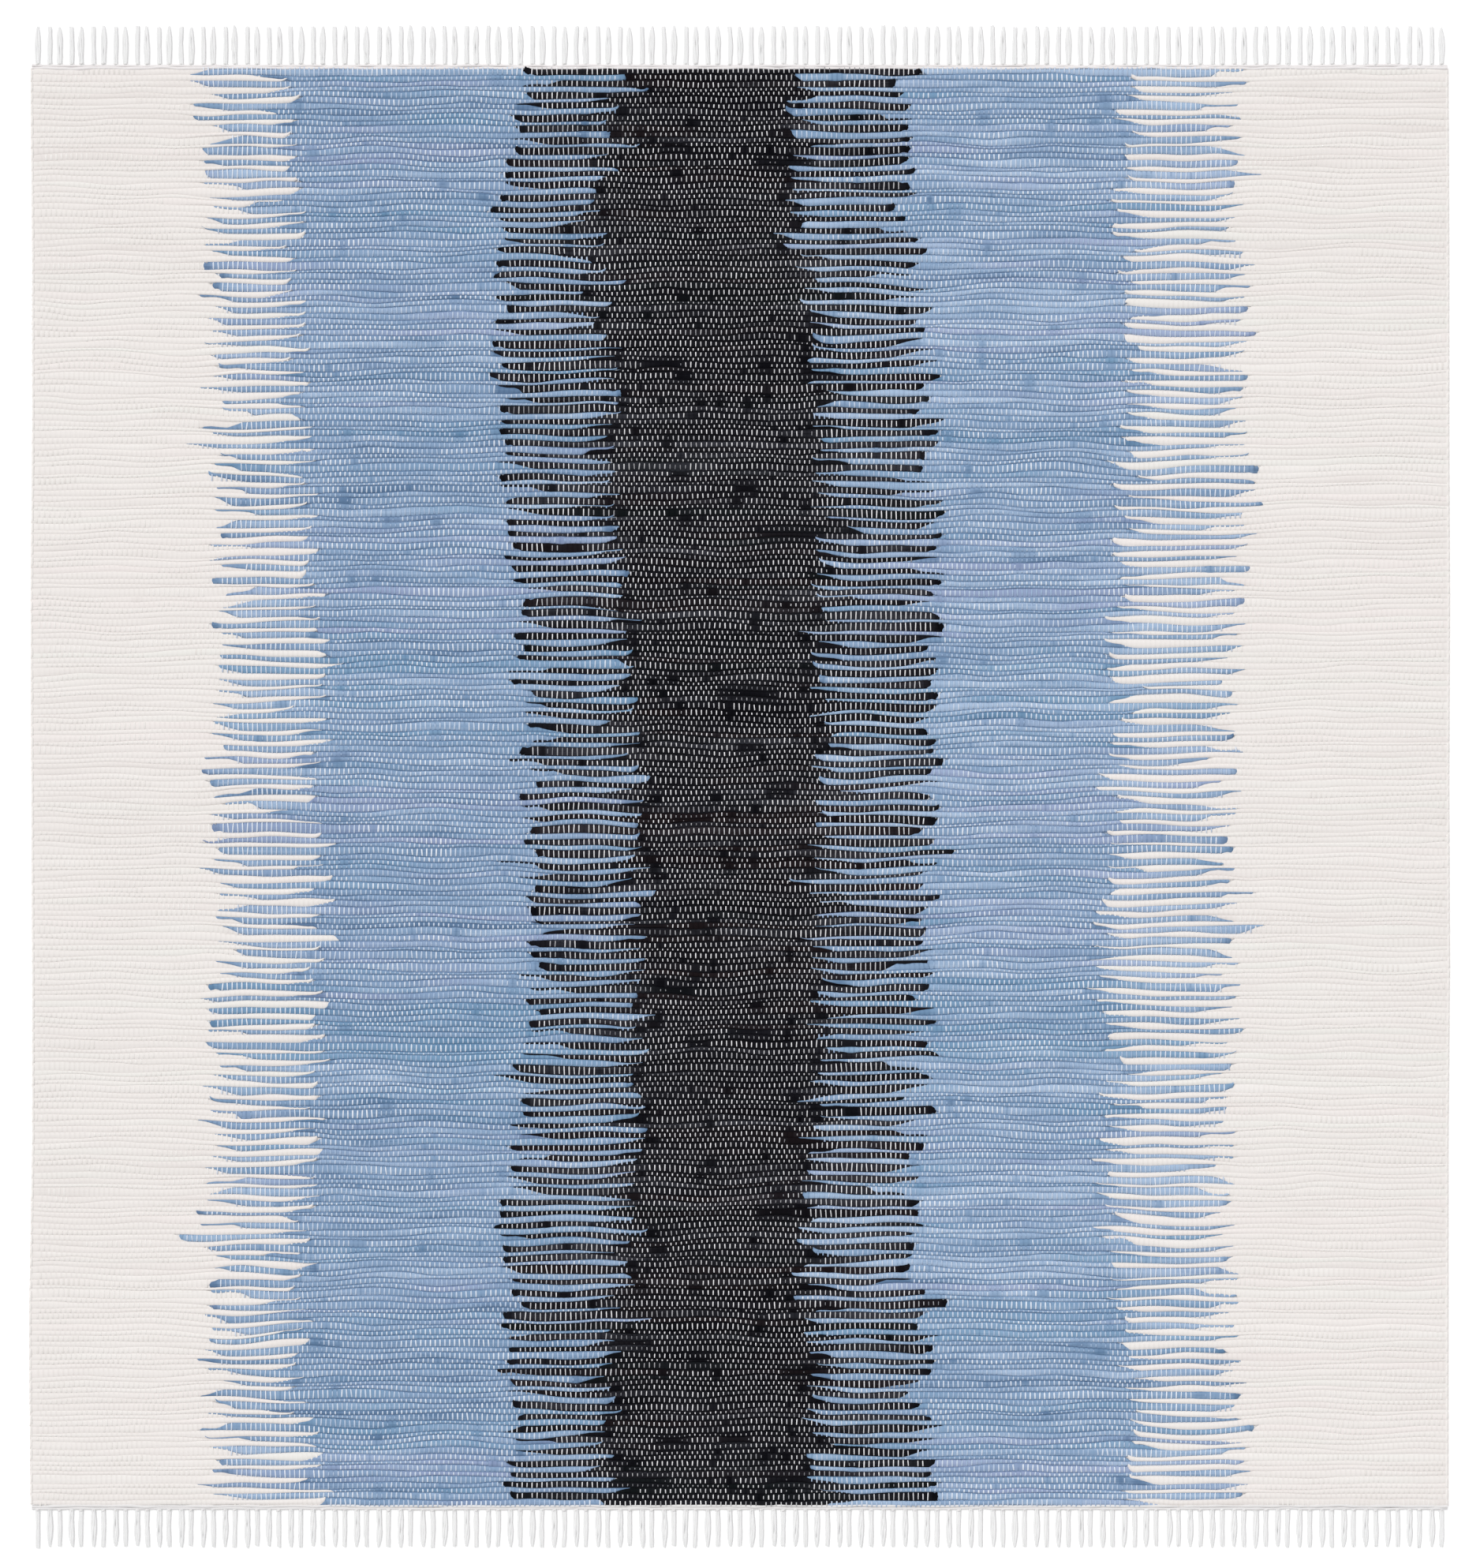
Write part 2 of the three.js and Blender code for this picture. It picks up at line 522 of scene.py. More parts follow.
class TipKind(enum.Enum):
    """How the end of a rag strip lies in its pick."""

    POINTED = "pointed"
    TAILED = "tailed"
    BLUNT = "blunt"
    KNOTTED = "knotted"
    SLIM = "slim"


class TipShape(NamedTuple):
    """Sizes of one kind of tip, in millimetres, each with its least and its most.

    thin is the share of the pick's width that the tip starts with.
    """

    taper: Span
    tail: Span
    knot: Span
    thin: float


TIP_SHAPES = {
    TipKind.POINTED: TipShape((22, 58), (0, 4), (0, 0), 0.14),
    TipKind.TAILED: TipShape((8, 26), (14, 42), (0, 0), 0.30),
    TipKind.BLUNT: TipShape((6, 16), (0, 2), (0, 2), 0.62),
    TipKind.KNOTTED: TipShape((4, 9), (3, 8), (6, 11), 0.92),
    TipKind.SLIM: TipShape((24, 60), (2, 8), (0, 0), 0.46),
}


class TipOdds(NamedTuple):
    """Odds of each kind of tip, in the order of TipKind, and of two more things about a tip.

    bare is for a join that shows no warp, and hooked for a tip that hooks over the pick beyond.
    """

    kinds: tuple[float, ...]
    bare: float
    hooked: float


BLUE_IN_WHITE = TipOdds((0.36, 0.26, 0.12, 0.14, 0.12), 0.50, 0.10)
WHITE_IN_BLUE = TipOdds((0.12, 0.04, 0.32, 0.04, 0.48), 0.55, 0.50)
BLACK_IN_BLUE = TipOdds((0.17, 0.10, 0.12, 0.57, 0.04), 0.20, 0.08)
BLUE_IN_BLACK = TipOdds((0.28, 0.08, 0.24, 0.06, 0.34), 0.40, 0.30)


@dataclass(frozen=True)
class Finger:
    """One of the eight borders: which rag reaches into which, and how its tips usually end."""

    tips: str
    rag: Rag
    into: Rag
    points: int
    odds: TipOdds

    def kind(self, random: np.random.Generator) -> TipKind:
        """Choose a kind of tip by the border's own odds."""
        return list(TipKind)[int(random.choice(len(TipKind), p=self.odds.kinds))]


FAR_REACHING = (
    Finger("blue_out_left", Rag.BLUE, Rag.WHITE, -1, BLUE_IN_WHITE),
    Finger("black_out_left", Rag.BLACK, Rag.BLUE, -1, BLACK_IN_BLUE),
    Finger("black_out_right", Rag.BLACK, Rag.BLUE, 1, BLACK_IN_BLUE),
    Finger("blue_out_right", Rag.BLUE, Rag.WHITE, 1, BLUE_IN_WHITE),
)
NEAR_REACHING = (
    Finger("white_in_left", Rag.WHITE, Rag.BLUE, 1, WHITE_IN_BLUE),
    Finger("blue_in_left", Rag.BLUE, Rag.BLACK, 1, BLUE_IN_BLACK),
    Finger("blue_in_right", Rag.BLUE, Rag.BLACK, -1, BLUE_IN_BLACK),
    Finger("white_in_right", Rag.WHITE, Rag.BLUE, -1, WHITE_IN_BLUE),
)
RAGS_ACROSS = (Rag.WHITE, Rag.BLUE, Rag.BLACK, Rag.BLUE, Rag.WHITE)
MIDDLE_STRIPE = 2
RIGHT_BLUE_STRIPE = 3
OUTER_STRIPES = (0, 4)
NOSE = 2.5 * MM
TIP_WAVER = 0.2
TIP_WAVER_LENGTH = 4.6 * MM
BARE_TAPER = 0.55


@dataclass(frozen=True)
class Join:
    """The place in one pick where one rag ends beside the next."""

    finger: Finger
    tip: float
    taper: float
    tail: float
    thin: float
    knot: float
    upper: bool
    bare: bool
    hook: float

    @property
    def bare_length(self) -> float:
        """How far in from its tip a bare join shows no warp."""
        return self.tail + self.taper * BARE_TAPER

    @property
    def full(self) -> float:
        """Where the finger fills the whole width of its pick."""
        return self.tip - self.finger.points * (self.tail + self.taper)

    def depth(self, x: np.ndarray) -> np.ndarray:
        """Distance from the tip into the finger, which is negative past the tip."""
        return (self.tip - x) * self.finger.points

    def share(self, x: np.ndarray) -> np.ndarray:
        """Find the share of the pick's width that the finger takes.

        Args:
            x: Places across the rug.

        Returns:
            The share at each place, from 0 to 1.
        """
        inside = self.depth(x)
        grown = np.clip((inside - self.tail) / self.taper, 0, 1)
        nose = np.sqrt(np.clip(inside / NOSE, 0, 1))
        uneven = 1 + TIP_WAVER * np.sin(x / TIP_WAVER_LENGTH + self.tip / MM) * (1 - grown)
        eased = grown * grown * (3 - 2 * grown)
        return nose * np.clip(self.thin * uneven + (1 - self.thin) * eased, 0, 1)


class Bunch(NamedTuple):
    """A place where the rag crowds up and hides the warp."""

    x: float
    reach: float
    swell: float


@dataclass(frozen=True)
class Strip:
    """One length of rag in one pick."""

    pick: int
    rag: Rag
    order: int
    start: float
    end: float
    joins: tuple[Join, ...]

    def lane(self, x: np.ndarray) -> tuple[np.ndarray, np.ndarray]:
        """Find the part of the pick's width that the strip lies in.

        Args:
            x: Places across the rug.

        Returns:
            The lane's two sides, from 0 at the pick's far side to 1 at its near side.
        """
        low, high = np.zeros_like(x), np.ones_like(x)
        for join in self.joins:
            share = join.share(x)
            taken = share if join.finger.rag is self.rag else 1 - share
            at_far_side = join.upper is (join.finger.rag is self.rag)
            if at_far_side:
                high = np.minimum(high, taken)
            else:
                low = np.maximum(low, 1 - taken)
        return low, np.maximum(high, low)


class Sway(NamedTuple):
    """One slow bend of the warp: its size, and its radians in a metre and over the width."""

    size: float
    along: float
    over_width: float


WARP_SWAYS = (Sway(1.3 * MM, 7, 9), Sway(0.5 * MM, 31, 40))

# How far a hooked tip bends into the pick beyond, in millimetres, and the length that bends.
HOOKS = (1.6, 3.8)
HOOK_LENGTH = 11 * MM


def millimetres(random: np.random.Generator, span: Span) -> float:
    """Draw a length from a span in millimetres, and give it in metres."""
    return random.uniform(*span) * MM


@dataclass
class WeavePlan:
    """The lay of the weft and the warp, which the cloth's pieces share.

    The spans of wander lengths and of the places and sizes of tip bunches and long bunches are in
    millimetres, and all other lengths in metres. A bunch's size is drawn from a gamma spread with
    its shape and its scale in millimetres, on top of the least size.
    """

    width: float = 1829 * MM
    length: float = 1851 * MM
    picks: int = 254
    floats_per_pick: int = 287
    pick_spread: float = 0.24
    quick_rhythm: float = 2.1
    slow_rhythm: float = 0.73
    row_bow: float = 2.2 * MM
    row_bow_length: float = 1500 * MM
    row_bow_shift: float = 9.0
    wave: float = 0.70 * MM
    wave_length: float = 42 * MM
    long_wave: float = 1.15 * MM
    long_wave_length: float = 150 * MM
    calm_ends: float = 0.35
    wander: float = 0.5 * MM
    wanders: int = 9
    wander_from: float = 90 * MM
    wander_lengths_across: Span = (110, 380)
    wander_lengths_along: Span = (90, 320)
    finger_zone: float = 78 * MM
    finger_swell: float = 0.52 * MM
    plain_swell: float = 0.35 * MM
    outer_from: float = 400 * MM
    left_swell: float = 0.26 * MM
    right_swell: float = -0.16 * MM
    uneven_swell: float = 0.5
    uneven_length: float = 180 * MM
    thinnest_pick: float = 3.2 * MM
    beyond_edge: float = 8 * MM
    tip_spread: float = 8.5 * MM
    tip_outliers: float = 0.12
    outlier_spread: float = 2.3
    farthest_spread: float = 2.0
    thin_spread: Span = (0.85, 1.15)
    upper_share: float = 0.85
    warp_crowding: float = 0.0022
    warp_crowding_shift: float = 0.5
    bunch_every: ByRag = ByRag(white=9.0, blue=1.7, black=0.68)
    bunch_shape: float = 1.6
    bunch_scale: float = 1.5
    least_bunch: float = 1.8 * MM
    bunch_swells: Span = (0.15, 0.6)
    bunch_skirt: float = 2 * MM
    bunched_tips: float = 0.3
    tip_bunch_places: Span = (2, 8)
    tip_bunch_sizes: Span = (2, 6)
    tip_bunch_swell: float = 0.3
    long_bunches: int = 22
    long_bunch_places: Span = (-150, 120)
    long_bunch_sizes: Span = (9, 40)
    long_bunch_swell: float = 0.1
    long_bunch_pinch: float = 0.19
    step: float = 2 * MM
    seed: int = 11

    def __post_init__(self) -> None:
        """Work out the rows, joins, strips and bunches."""
        self.random = np.random.default_rng(self.seed)
        reach = self.width / 2 + self.beyond_edge
        self.across = np.arange(-reach, reach, self.step)
        self.edges = self._pick_edges()
        self.borders = self._borders()
        self.joins = [self._joins(pick) for pick in range(self.picks)]
        self.strips = [strip for pick in range(self.picks) for strip in self._strips(pick)]
        self.bunches = [self._bunches(pick) for pick in range(self.picks)]
        self._add_long_bunches()

    def _pick_edges(self) -> np.ndarray:
        """Find the edges of the picks.

        Returns:
            The share of the cloth's length at each edge, from the far end.
        """
        pick = np.arange(self.picks)
        swing = np.sin(self.quick_rhythm * pick) * np.cos(self.slow_rhythm * pick)
        edges = np.concatenate([[0], np.cumsum(1 + self.pick_spread * swing)])
        return edges / edges[-1]

    def _borders(self) -> np.ndarray:
        """Lay out the wavering line between each two picks.

        Returns:
            Y of each line, at each step across the rug.
        """
        share = self.edges[:, None]
        turn = 2 * math.pi * self.across / self.row_bow_length + self.row_bow_shift * share
        bow = self.row_bow * np.sin(math.pi * share) * np.sin(turn)
        calm = np.ones_like(share)
        calm[[0, -1]] = self.calm_ends
        rows = len(self.edges)
        waves = self.wave * ripple(self.random, rows, self.across, self.wave_length)
        waves += self.long_wave * ripple(self.random, rows, self.across, self.long_wave_length)
        outward = np.where(np.arange(rows) % 2, -1, 1)[:, None]
        noise = ripple(self.random, rows, self.across, self.uneven_length)
        waves += self._finger_swell() * outward * (1 + self.uneven_swell * noise)
        borders = self.length * (0.5 - share) + bow + calm * waves + self._wander()
        for row in range(1, rows):
            borders[row] = np.minimum(borders[row], borders[row - 1] - self.thinnest_pick)
        return borders

    def _finger_swell(self) -> np.ndarray:
        """Find how much thicker every second pick is.

        Returns:
            Half of the difference, for each line between picks at each step across the rug.
        """
        in_fingers = np.full_like(self.across, self.finger_swell)
        in_fingers[self.across < -self.outer_from] = self.left_swell
        in_fingers[self.across > self.outer_from] = self.right_swell
        fingers = self.among_fingers(self.edges, self.across)
        return self.plain_swell + (in_fingers - self.plain_swell) * fingers

    def _wander(self) -> np.ndarray:
        """Lay out how far neighbouring picks wander together, which dies out at both ends.

        Returns:
            A shift of each line between picks, at each step across the rug.
        """
        random = np.random.default_rng(self.seed + 1)
        along = self.edges[:, None] * self.length
        total = np.zeros((len(self.edges), len(self.across)))
        for _ in range(self.wanders):
            turns_across = 1 / millimetres(random, self.wander_lengths_across)
            turns_along = random.choice([-1, 1]) / millimetres(random, self.wander_lengths_along)
            turn = self.across * turns_across + along * turns_along + random.random()
            total += self.wander * np.sin(2 * math.pi * turn)
        from_end = np.minimum(along, self.length - along)
        return total * np.clip(from_end / self.wander_from, 0, 1)

    def tips(self, finger: Finger, shares: np.ndarray | float) -> np.ndarray | float:
        """Find where the tips of one border lie on the whole.

        Args:
            finger: The border.
            shares: Places along the cloth, from 0 at its far end to 1 at its near end.

        Returns:
            X at each place.
        """
        rows = np.linspace(0, 1, len(STRIPE_TIPS))
        return np.interp(shares, rows, [getattr(row, finger.tips) for row in STRIPE_TIPS]) * MM

    def among_fingers(self, shares: np.ndarray, x: np.ndarray) -> np.ndarray:
        """Find how far places on the cloth lie among the fingers.

        Args:
            shares: Places along the cloth, from 0 at its far end to 1 at its near end.
            x: Places across the rug.

        Returns:
            An array of shares by x, from 0 in a plain stripe to 1 among the fingers.
        """
        found = np.zeros((len(shares), len(x)))
        for far, near in zip(FAR_REACHING, NEAR_REACHING):
            middle = (self.tips(far, shares) + self.tips(near, shares)) / 2
            found += np.exp(-(((x[None, :] - middle[:, None]) / self.finger_zone) ** 4))
        return found

    def fingers_in(self, pick: int, x: np.ndarray) -> np.ndarray:
        """How far places in one pick lie among the fingers, from 0 to 1."""
        return self.among_fingers(self.edges[pick : pick + 1], x)[0]

    def middle(self, pick: int) -> float:
        """Y of a pick's middle, with no waver."""
        return self.length * (0.5 - (self.edges[pick] + self.edges[pick + 1]) / 2)

    def columns(self, pick: int) -> np.ndarray:
        """Place the floats of a pick, which lie between those of the picks beside it.

        Args:
            pick: Number of the pick, from the far end.

        Returns:
            X of each float, from left to right.
        """
        y = self.middle(pick)
        share = (np.arange(self.floats_per_pick) + 0.25 + 0.5 * (pick % 2)) / self.floats_per_pick
        crowding = np.sin(4 * math.pi * share + self.warp_crowding_shift)
        share = share + self.warp_crowding * crowding
        left, right = float(self.side("left", y)), float(self.side("right", y))
        sways = (s.size * np.sin(s.along * y + s.over_width * share) for s in WARP_SWAYS)
        return left + (right - left) * share + sum(sways)

    def side(self, name: str, y: np.ndarray | float) -> np.ndarray:
        """Find the place of a selvedge.

        Args:
            name: Which selvedge, left or right.
            y: Places along the rug.

        Returns:
            X at each place.
        """
        waver = [getattr(row, name) * MM for row in SELVEDGE_WAVER]
        steps = np.linspace(self.length / 2, -self.length / 2, len(waver))
        out = np.interp(-np.asarray(y), -steps, waver)
        return -self.width / 2 - out if name == "left" else self.width / 2 + out

    def _joins(self, pick: int) -> tuple[Join, ...]:
        """Place the four changes of rag in a pick.

        Args:
            pick: Number of the pick, from the far end.

        Returns:
            The joins, from left to right.
        """
        random = self.random
        joins = []
        for finger in NEAR_REACHING if pick % 2 else FAR_REACHING:
            spread = self.tip_spread
            if random.random() < self.tip_outliers:
                spread *= self.outlier_spread
            shape = TIP_SHAPES[finger.kind(random)]
            aside = float(np.clip(random.normal(), -self.farthest_spread, self.farthest_spread))
            join = Join(
                finger=finger,
                tip=self.tips(finger, self.edges[pick]) + aside * spread,
                taper=millimetres(random, shape.taper),
                tail=millimetres(random, shape.tail),
                thin=shape.thin * random.uniform(*self.thin_spread),
                knot=millimetres(random, shape.knot),
                upper=bool(random.random() < self.upper_share),
                bare=bool(random.random() < finger.odds.bare),
                hook=millimetres(random, HOOKS) * (random.random() < finger.odds.hooked),
            )
            joins.append(join)
        return tuple(joins)

    def _strips(self, pick: int) -> list[Strip]:
        """Cut a pick into its five rags, each to its own ends.

        Args:
            pick: Number of the pick, from the far end.

        Returns:
            The strips, from left to right.
        """
        joins = self.joins[pick]
        strips = []
        for order, rag in enumerate(RAGS_ACROSS):
            ends = [float(self.side(name, self.middle(pick))) for name in ("left", "right")]
            beside = []
            for end, number in ((0, order - 1), (1, order)):
                if 0 <= number < len(joins):
                    join = joins[number]
                    beside.append(join)
                    ends[end] = join.tip if join.finger.rag is rag else join.full
            strips.append(Strip(pick, rag, order, ends[0], ends[1], tuple(beside)))
        return strips

    def _bunches(self, pick: int) -> list[Bunch]:
        """Scatter bunches over a pick, more of them in the black rag.

        Args:
            pick: Number of the pick, from the far end.

        Returns:
            The bunches, in no order.
        """
        random = self.random
        found = []
        first = pick * len(RAGS_ACROSS)
        for strip in self.strips[first : first + len(RAGS_ACROSS)]:
            expected = (strip.end - strip.start) / self.bunch_every.of(strip.rag)
            for _ in range(random.poisson(expected)):
                x = random.uniform(strip.start, strip.end)
                size = random.gamma(self.bunch_shape, self.bunch_scale) * MM + self.least_bunch
                found.append(Bunch(x, size, random.uniform(*self.bunch_swells)))
        for join in self.joins[pick]:
            if join.finger.into is Rag.BLACK and random.random() < self.bunched_tips:
                x = join.tip + join.finger.points * millimetres(random, self.tip_bunch_places)
                size = millimetres(random, self.tip_bunch_sizes)
                found.append(Bunch(x, size, self.tip_bunch_swell))
        return found

    def _add_long_bunches(self) -> None:
        """Add the few long stretches of black rag that ride over the warp, drawn thin there."""
        for _ in range(self.long_bunches):
            pick = int(self.random.integers(self.picks))
            x = millimetres(self.random, self.long_bunch_places)
            reach = millimetres(self.random, self.long_bunch_sizes)
            self.bunches[pick].append(Bunch(x, reach, self.long_bunch_swell))
            if 0 < pick < self.picks - 1:
                dent_shade_strength = self.long_bunch_pinch * np.exp(-(((self.across - x) / reach) ** 4))
                closer = dent_shade_strength * (self.borders[pick] - self.borders[pick + 1])
                self.borders[pick] -= closer
                self.borders[pick + 1] += closer

    def line(self, border: int, x: np.ndarray) -> np.ndarray:
        """Y of the line between two picks at places across the rug."""
        return np.interp(x, self.across, self.borders[border])

    def swell(self, pick: int, x: np.ndarray) -> np.ndarray:
        """Find how much the rag is crowded up along a pick.

        Args:
            pick: Number of the pick, from the far end.
            x: Places across the rug.

        Returns:
            The swell at each place, which is 0 away from all bunches.
        """
        total = np.zeros_like(x)
        for bunch in self.bunches[pick]:
            away = np.clip(np.abs(x - bunch.x) / (bunch.reach + self.bunch_skirt), 0, 1)
            total = np.maximum(total, bunch.swell * (1 - away**2))
        return total


def stripe_name(kind: str, order: int) -> str:
    """Name a piece by its stripe, counted from the left."""
    sides = ("left", "left", "middle", "right", "right")
    return f"{kind}_{RAGS_ACROSS[order].value}_{sides[order]}"


def point_mesh(name: str, arrays: Mapping[str, np.ndarray]) -> bpy.types.Mesh:
    """Make a mesh of loose points, with numbers or vectors on them.

    Args:
        name: Name of the mesh.
        arrays: The points' places, and other arrays by attribute name.

    Returns:
        The mesh.
    """
    mesh = bpy.data.meshes.new(name)
    mesh.vertices.add(len(arrays["place"]))
    for key, values in arrays.items():
        flat = values.astype(np.float32).ravel()
        if key == "place":
            mesh.vertices.foreach_set("co", flat)
        elif values.ndim == 2:
            mesh.attributes.new(key, "FLOAT_VECTOR", "POINT").data.foreach_set("vector", flat)
        else:
            mesh.attributes.new(key, "FLOAT", "POINT").data.foreach_set("value", flat)
    return mesh


def line_mesh(name: str, runs: Sequence[Mapping[str, np.ndarray]]) -> bpy.types.Mesh:
    """Make a mesh of open lines, with numbers on their points.

    Args:
        name: Name of the mesh.
        runs: For each line its places, and other arrays by attribute name.

    Returns:
        The mesh, which has points and edges only.
    """
    mesh = point_mesh(name, {key: np.concatenate([run[key] for run in runs]) for key in runs[0]})
    last = np.cumsum([len(run["place"]) for run in runs]) - 1
    starts = np.delete(np.arange(len(mesh.vertices)), last)
    ends = np.stack([starts, starts + 1], 1)
    mesh.edges.add(len(starts))
    mesh.edges.foreach_set("vertices", ends.astype(np.int32).ravel())
    return mesh


class ModellingTree(Graph):
    """A Geometry Nodes tree with named inputs, which is run once on a mesh."""

    def __init__(self, name: str, **inputs: str) -> None:
        """Start a tree.

        Args:
            name: Name of the tree.
            inputs: Kind of each input beside the geometry and the material, by the input's name
                with _ for each space.
        """
        super().__init__(bpy.data.node_groups.new(name, "GeometryNodeTree"))
        face = self.tree.interface
        kinds = {"Geometry": "Geometry", **inputs, "Material": "Material"}
        for key, kind in kinds.items():
            label = key.replace("_", " ")
            face.new_socket(label, in_out="INPUT", socket_type=f"NodeSocket{kind}")
        face.new_socket("Geometry", in_out="OUTPUT", socket_type="NodeSocketGeometry")
        self.inputs = self.node("NodeGroupInput").outputs

    def given(self, name: str) -> Value:
        """Read one of the tree's inputs."""
        return Value(self, self.inputs[name])

    def named(self, name: str, kind: str = "FLOAT") -> Value:
        """Read an attribute of the geometry."""
        return self.value("GeometryNodeInputNamedAttribute", {"Name": name}, data_type=kind)

    def close(self, geometry: Value) -> None:
        """End the tree with real, smooth geometry in its material.

        Args:
            geometry: What the tree has made.
        """
        real = self.value("GeometryNodeRealizeInstances", {"Geometry": geometry})
        smooth = self.value("GeometryNodeSetShadeSmooth", {"Geometry": real})
        dressing = {"Geometry": smooth, "Material": self.given("Material")}
        dressed = self.value("GeometryNodeSetMaterial", dressing)
        self.node("NodeGroupOutput", {"Geometry": dressed})

    def run(self, name: str, mesh: bpy.types.Mesh, **inputs: object) -> bpy.types.Object:
        """Run the tree on a mesh and keep the result as a plain mesh.

        Args:
            name: Name of the piece.
            mesh: The lines or points to start from.
            inputs: Values of the tree's inputs, with _ for each space in a name.

        Returns:
            The piece, with no modifier left on it.
        """
        piece = put_in_scene(name, mesh)
        modifier = piece.modifiers.new("model", "NODES")
        modifier.node_group = self.tree
        for socket in self.tree.interface.items_tree:
            key = socket.name.replace(" ", "_")
            if socket.in_out == "INPUT" and key in inputs:
                modifier[socket.identifier] = inputs[key]
        seen = piece.evaluated_get(bpy.context.evaluated_depsgraph_get())
        made = bpy.data.meshes.new_from_object(seen)
        piece.modifiers.clear()
        piece.data = made
        made.name = name
        bpy.data.meshes.remove(mesh)
        return piece


class RagSweep(ModellingTree):
    """Sweeps a low flat-topped rib along each line: a rag strip pressed flat in the cloth."""

    RIM = 0.99

    def __init__(self) -> None:
        """Build the tree."""
        super().__init__("rag sweep", Profile_Points="Int", Flatness="Float", Edge_Height="Float")
        lines = self.value("GeometryNodeMeshToCurve", {"Mesh": self.given("Geometry")})
        lines = self.value("GeometryNodeSetCurveNormal", {"Curve": lines}, mode="Z_UP")
        ends = {"Start": (1, 0, 0), "End": (-1, 0, 0)}
        profile = self.value("GeometryNodeCurvePrimitiveLine", ends)
        spacing = {"Curve": profile, "Count": self.given("Profile Points")}
        profile = self.value("GeometryNodeResampleCurve", spacing)
        sideways, _ = self.split(self.value("GeometryNodeInputPosition"))
        drawn_out = sideways * (1 + self.given("Flatness") * (1 - abs(sideways)))
        moving = {"Geometry": profile, "Position": self.joined(X=drawn_out)}
        profile = self.value("GeometryNodeSetPosition", moving)
        storing = {"Geometry": profile, "Name": "across", "Value": sideways}
        settings = {"data_type": "FLOAT", "domain": "POINT"}
        profile = self.value("GeometryNodeStoreNamedAttribute", storing, **settings)
        sweeping = {"Curve": lines, "Profile Curve": profile, "Scale": self.named("half")}
        swept = self.value("GeometryNodeCurveToMesh", sweeping)
        on_top = 1 - abs(self.named("across")).above(self.RIM)
        height = self.named("rise") * on_top + self.given("Edge Height")
        raising = {"Geometry": swept, "Offset": self.joined(Z=height)}
        self.close(self.value("GeometryNodeSetPosition", raising))


class CordSweep(ModellingTree):
    """Sweeps a round yarn along each line."""

    def __init__(self) -> None:
        """Build the tree."""
        super().__init__("cord sweep", Sides="Int")
        lines = self.value("GeometryNodeMeshToCurve", {"Mesh": self.given("Geometry")})
        ring = {"Resolution": self.given("Sides"), "Radius": 1.0}
        sweeping = {
            "Curve": lines,
            "Profile Curve": self.value("GeometryNodeCurvePrimitiveCircle", ring),
            "Scale": self.named("radius"),
            "Fill Caps": True,
        }
        self.close(self.value("GeometryNodeCurveToMesh", sweeping))


class SeedShape(enum.Enum):
    """The small shape that a scatter puts on each of its points."""

    FLOAT = "float"
    KNOT = "knot"


class Scatter(ModellingTree):
    """Puts a small shape on each point, at the size and turn that the point holds."""

    BALL = {"Segments": 7, "Rings": 4}
    GRID = {"Size X": 2.0, "Size Y": 2.0, "Vertices X": 3, "Vertices Y": 4}
    END_ROW = 0.9
    SHOULDERS_OUT = 1.15
    END_HEIGHT = 0.12
    MIDDLE_HEIGHT = 0.88
    SIDE_DROP = 0.22
    SAME_PLACE = 0.01

    def __init__(self, shape: SeedShape) -> None:
        """Build the tree.

        Args:
            shape: The shape that it scatters.
        """
        super().__init__(f"scatter {shape.value}")
        if shape is SeedShape.KNOT:
            seed = self.value("GeometryNodeMeshUVSphere", self.BALL)
        else:
            seed = self._domed(self.value("GeometryNodeMeshGrid", self.GRID))
        placing = {
            "Points": self.given("Geometry"),
            "Instance": seed,
            "Rotation": self.joined(Z=self.named("turn")),
            "Scale": self.named("size", "FLOAT_VECTOR"),
        }
        self.close(self.value("GeometryNodeInstanceOnPoints", placing))

    def _domed(self, flat: Value) -> Value:
        """Draw both ends of a flat seed to a point, and raise its middle and its shoulders.

        Args:
            flat: The grid, from -1 to 1 both ways.

        Returns:
            The shaped seed, from 0 to 1 in height.
        """
        x, y = self.split(self.value("GeometryNodeInputPosition"))
        within = 1 - abs(y).above(self.END_ROW)
        height = self.END_HEIGHT + within * (self.MIDDLE_HEIGHT - self.SIDE_DROP * abs(x))
        place = self.joined(X=x * within, Y=y * (1 + within * self.SHOULDERS_OUT), Z=height)
        moved = self.value("GeometryNodeSetPosition", {"Geometry": flat, "Position": place})
        merging = {"Geometry": moved, "Distance": self.SAME_PLACE}
        return self.value("GeometryNodeMergeByDistance", merging)


def add_top_map(piece: bpy.types.Object) -> None:
    """Give a piece that is seen from above a flat map of its place on the rug.

    Args:
        piece: The finished piece.
    """
    margin = 0.004
    mesh = piece.data
    places = np.empty(len(mesh.vertices) * 3, np.float32)
    mesh.vertices.foreach_get("co", places)
    flat = places.reshape(-1, 3)[:, :2]
    low, high = flat.min(0), flat.max(0)
    corners = np.empty(len(mesh.loops), np.int32)
    mesh.loops.foreach_get("vertex_index", corners)
    layer = mesh.uv_layers.new(name=BAKE_MAP)
    spread = margin + (1 - 2 * margin) * (flat - low) / (high - low)
    layer.uv.foreach_set("vector", spread[corners].astype(np.float32).ravel())


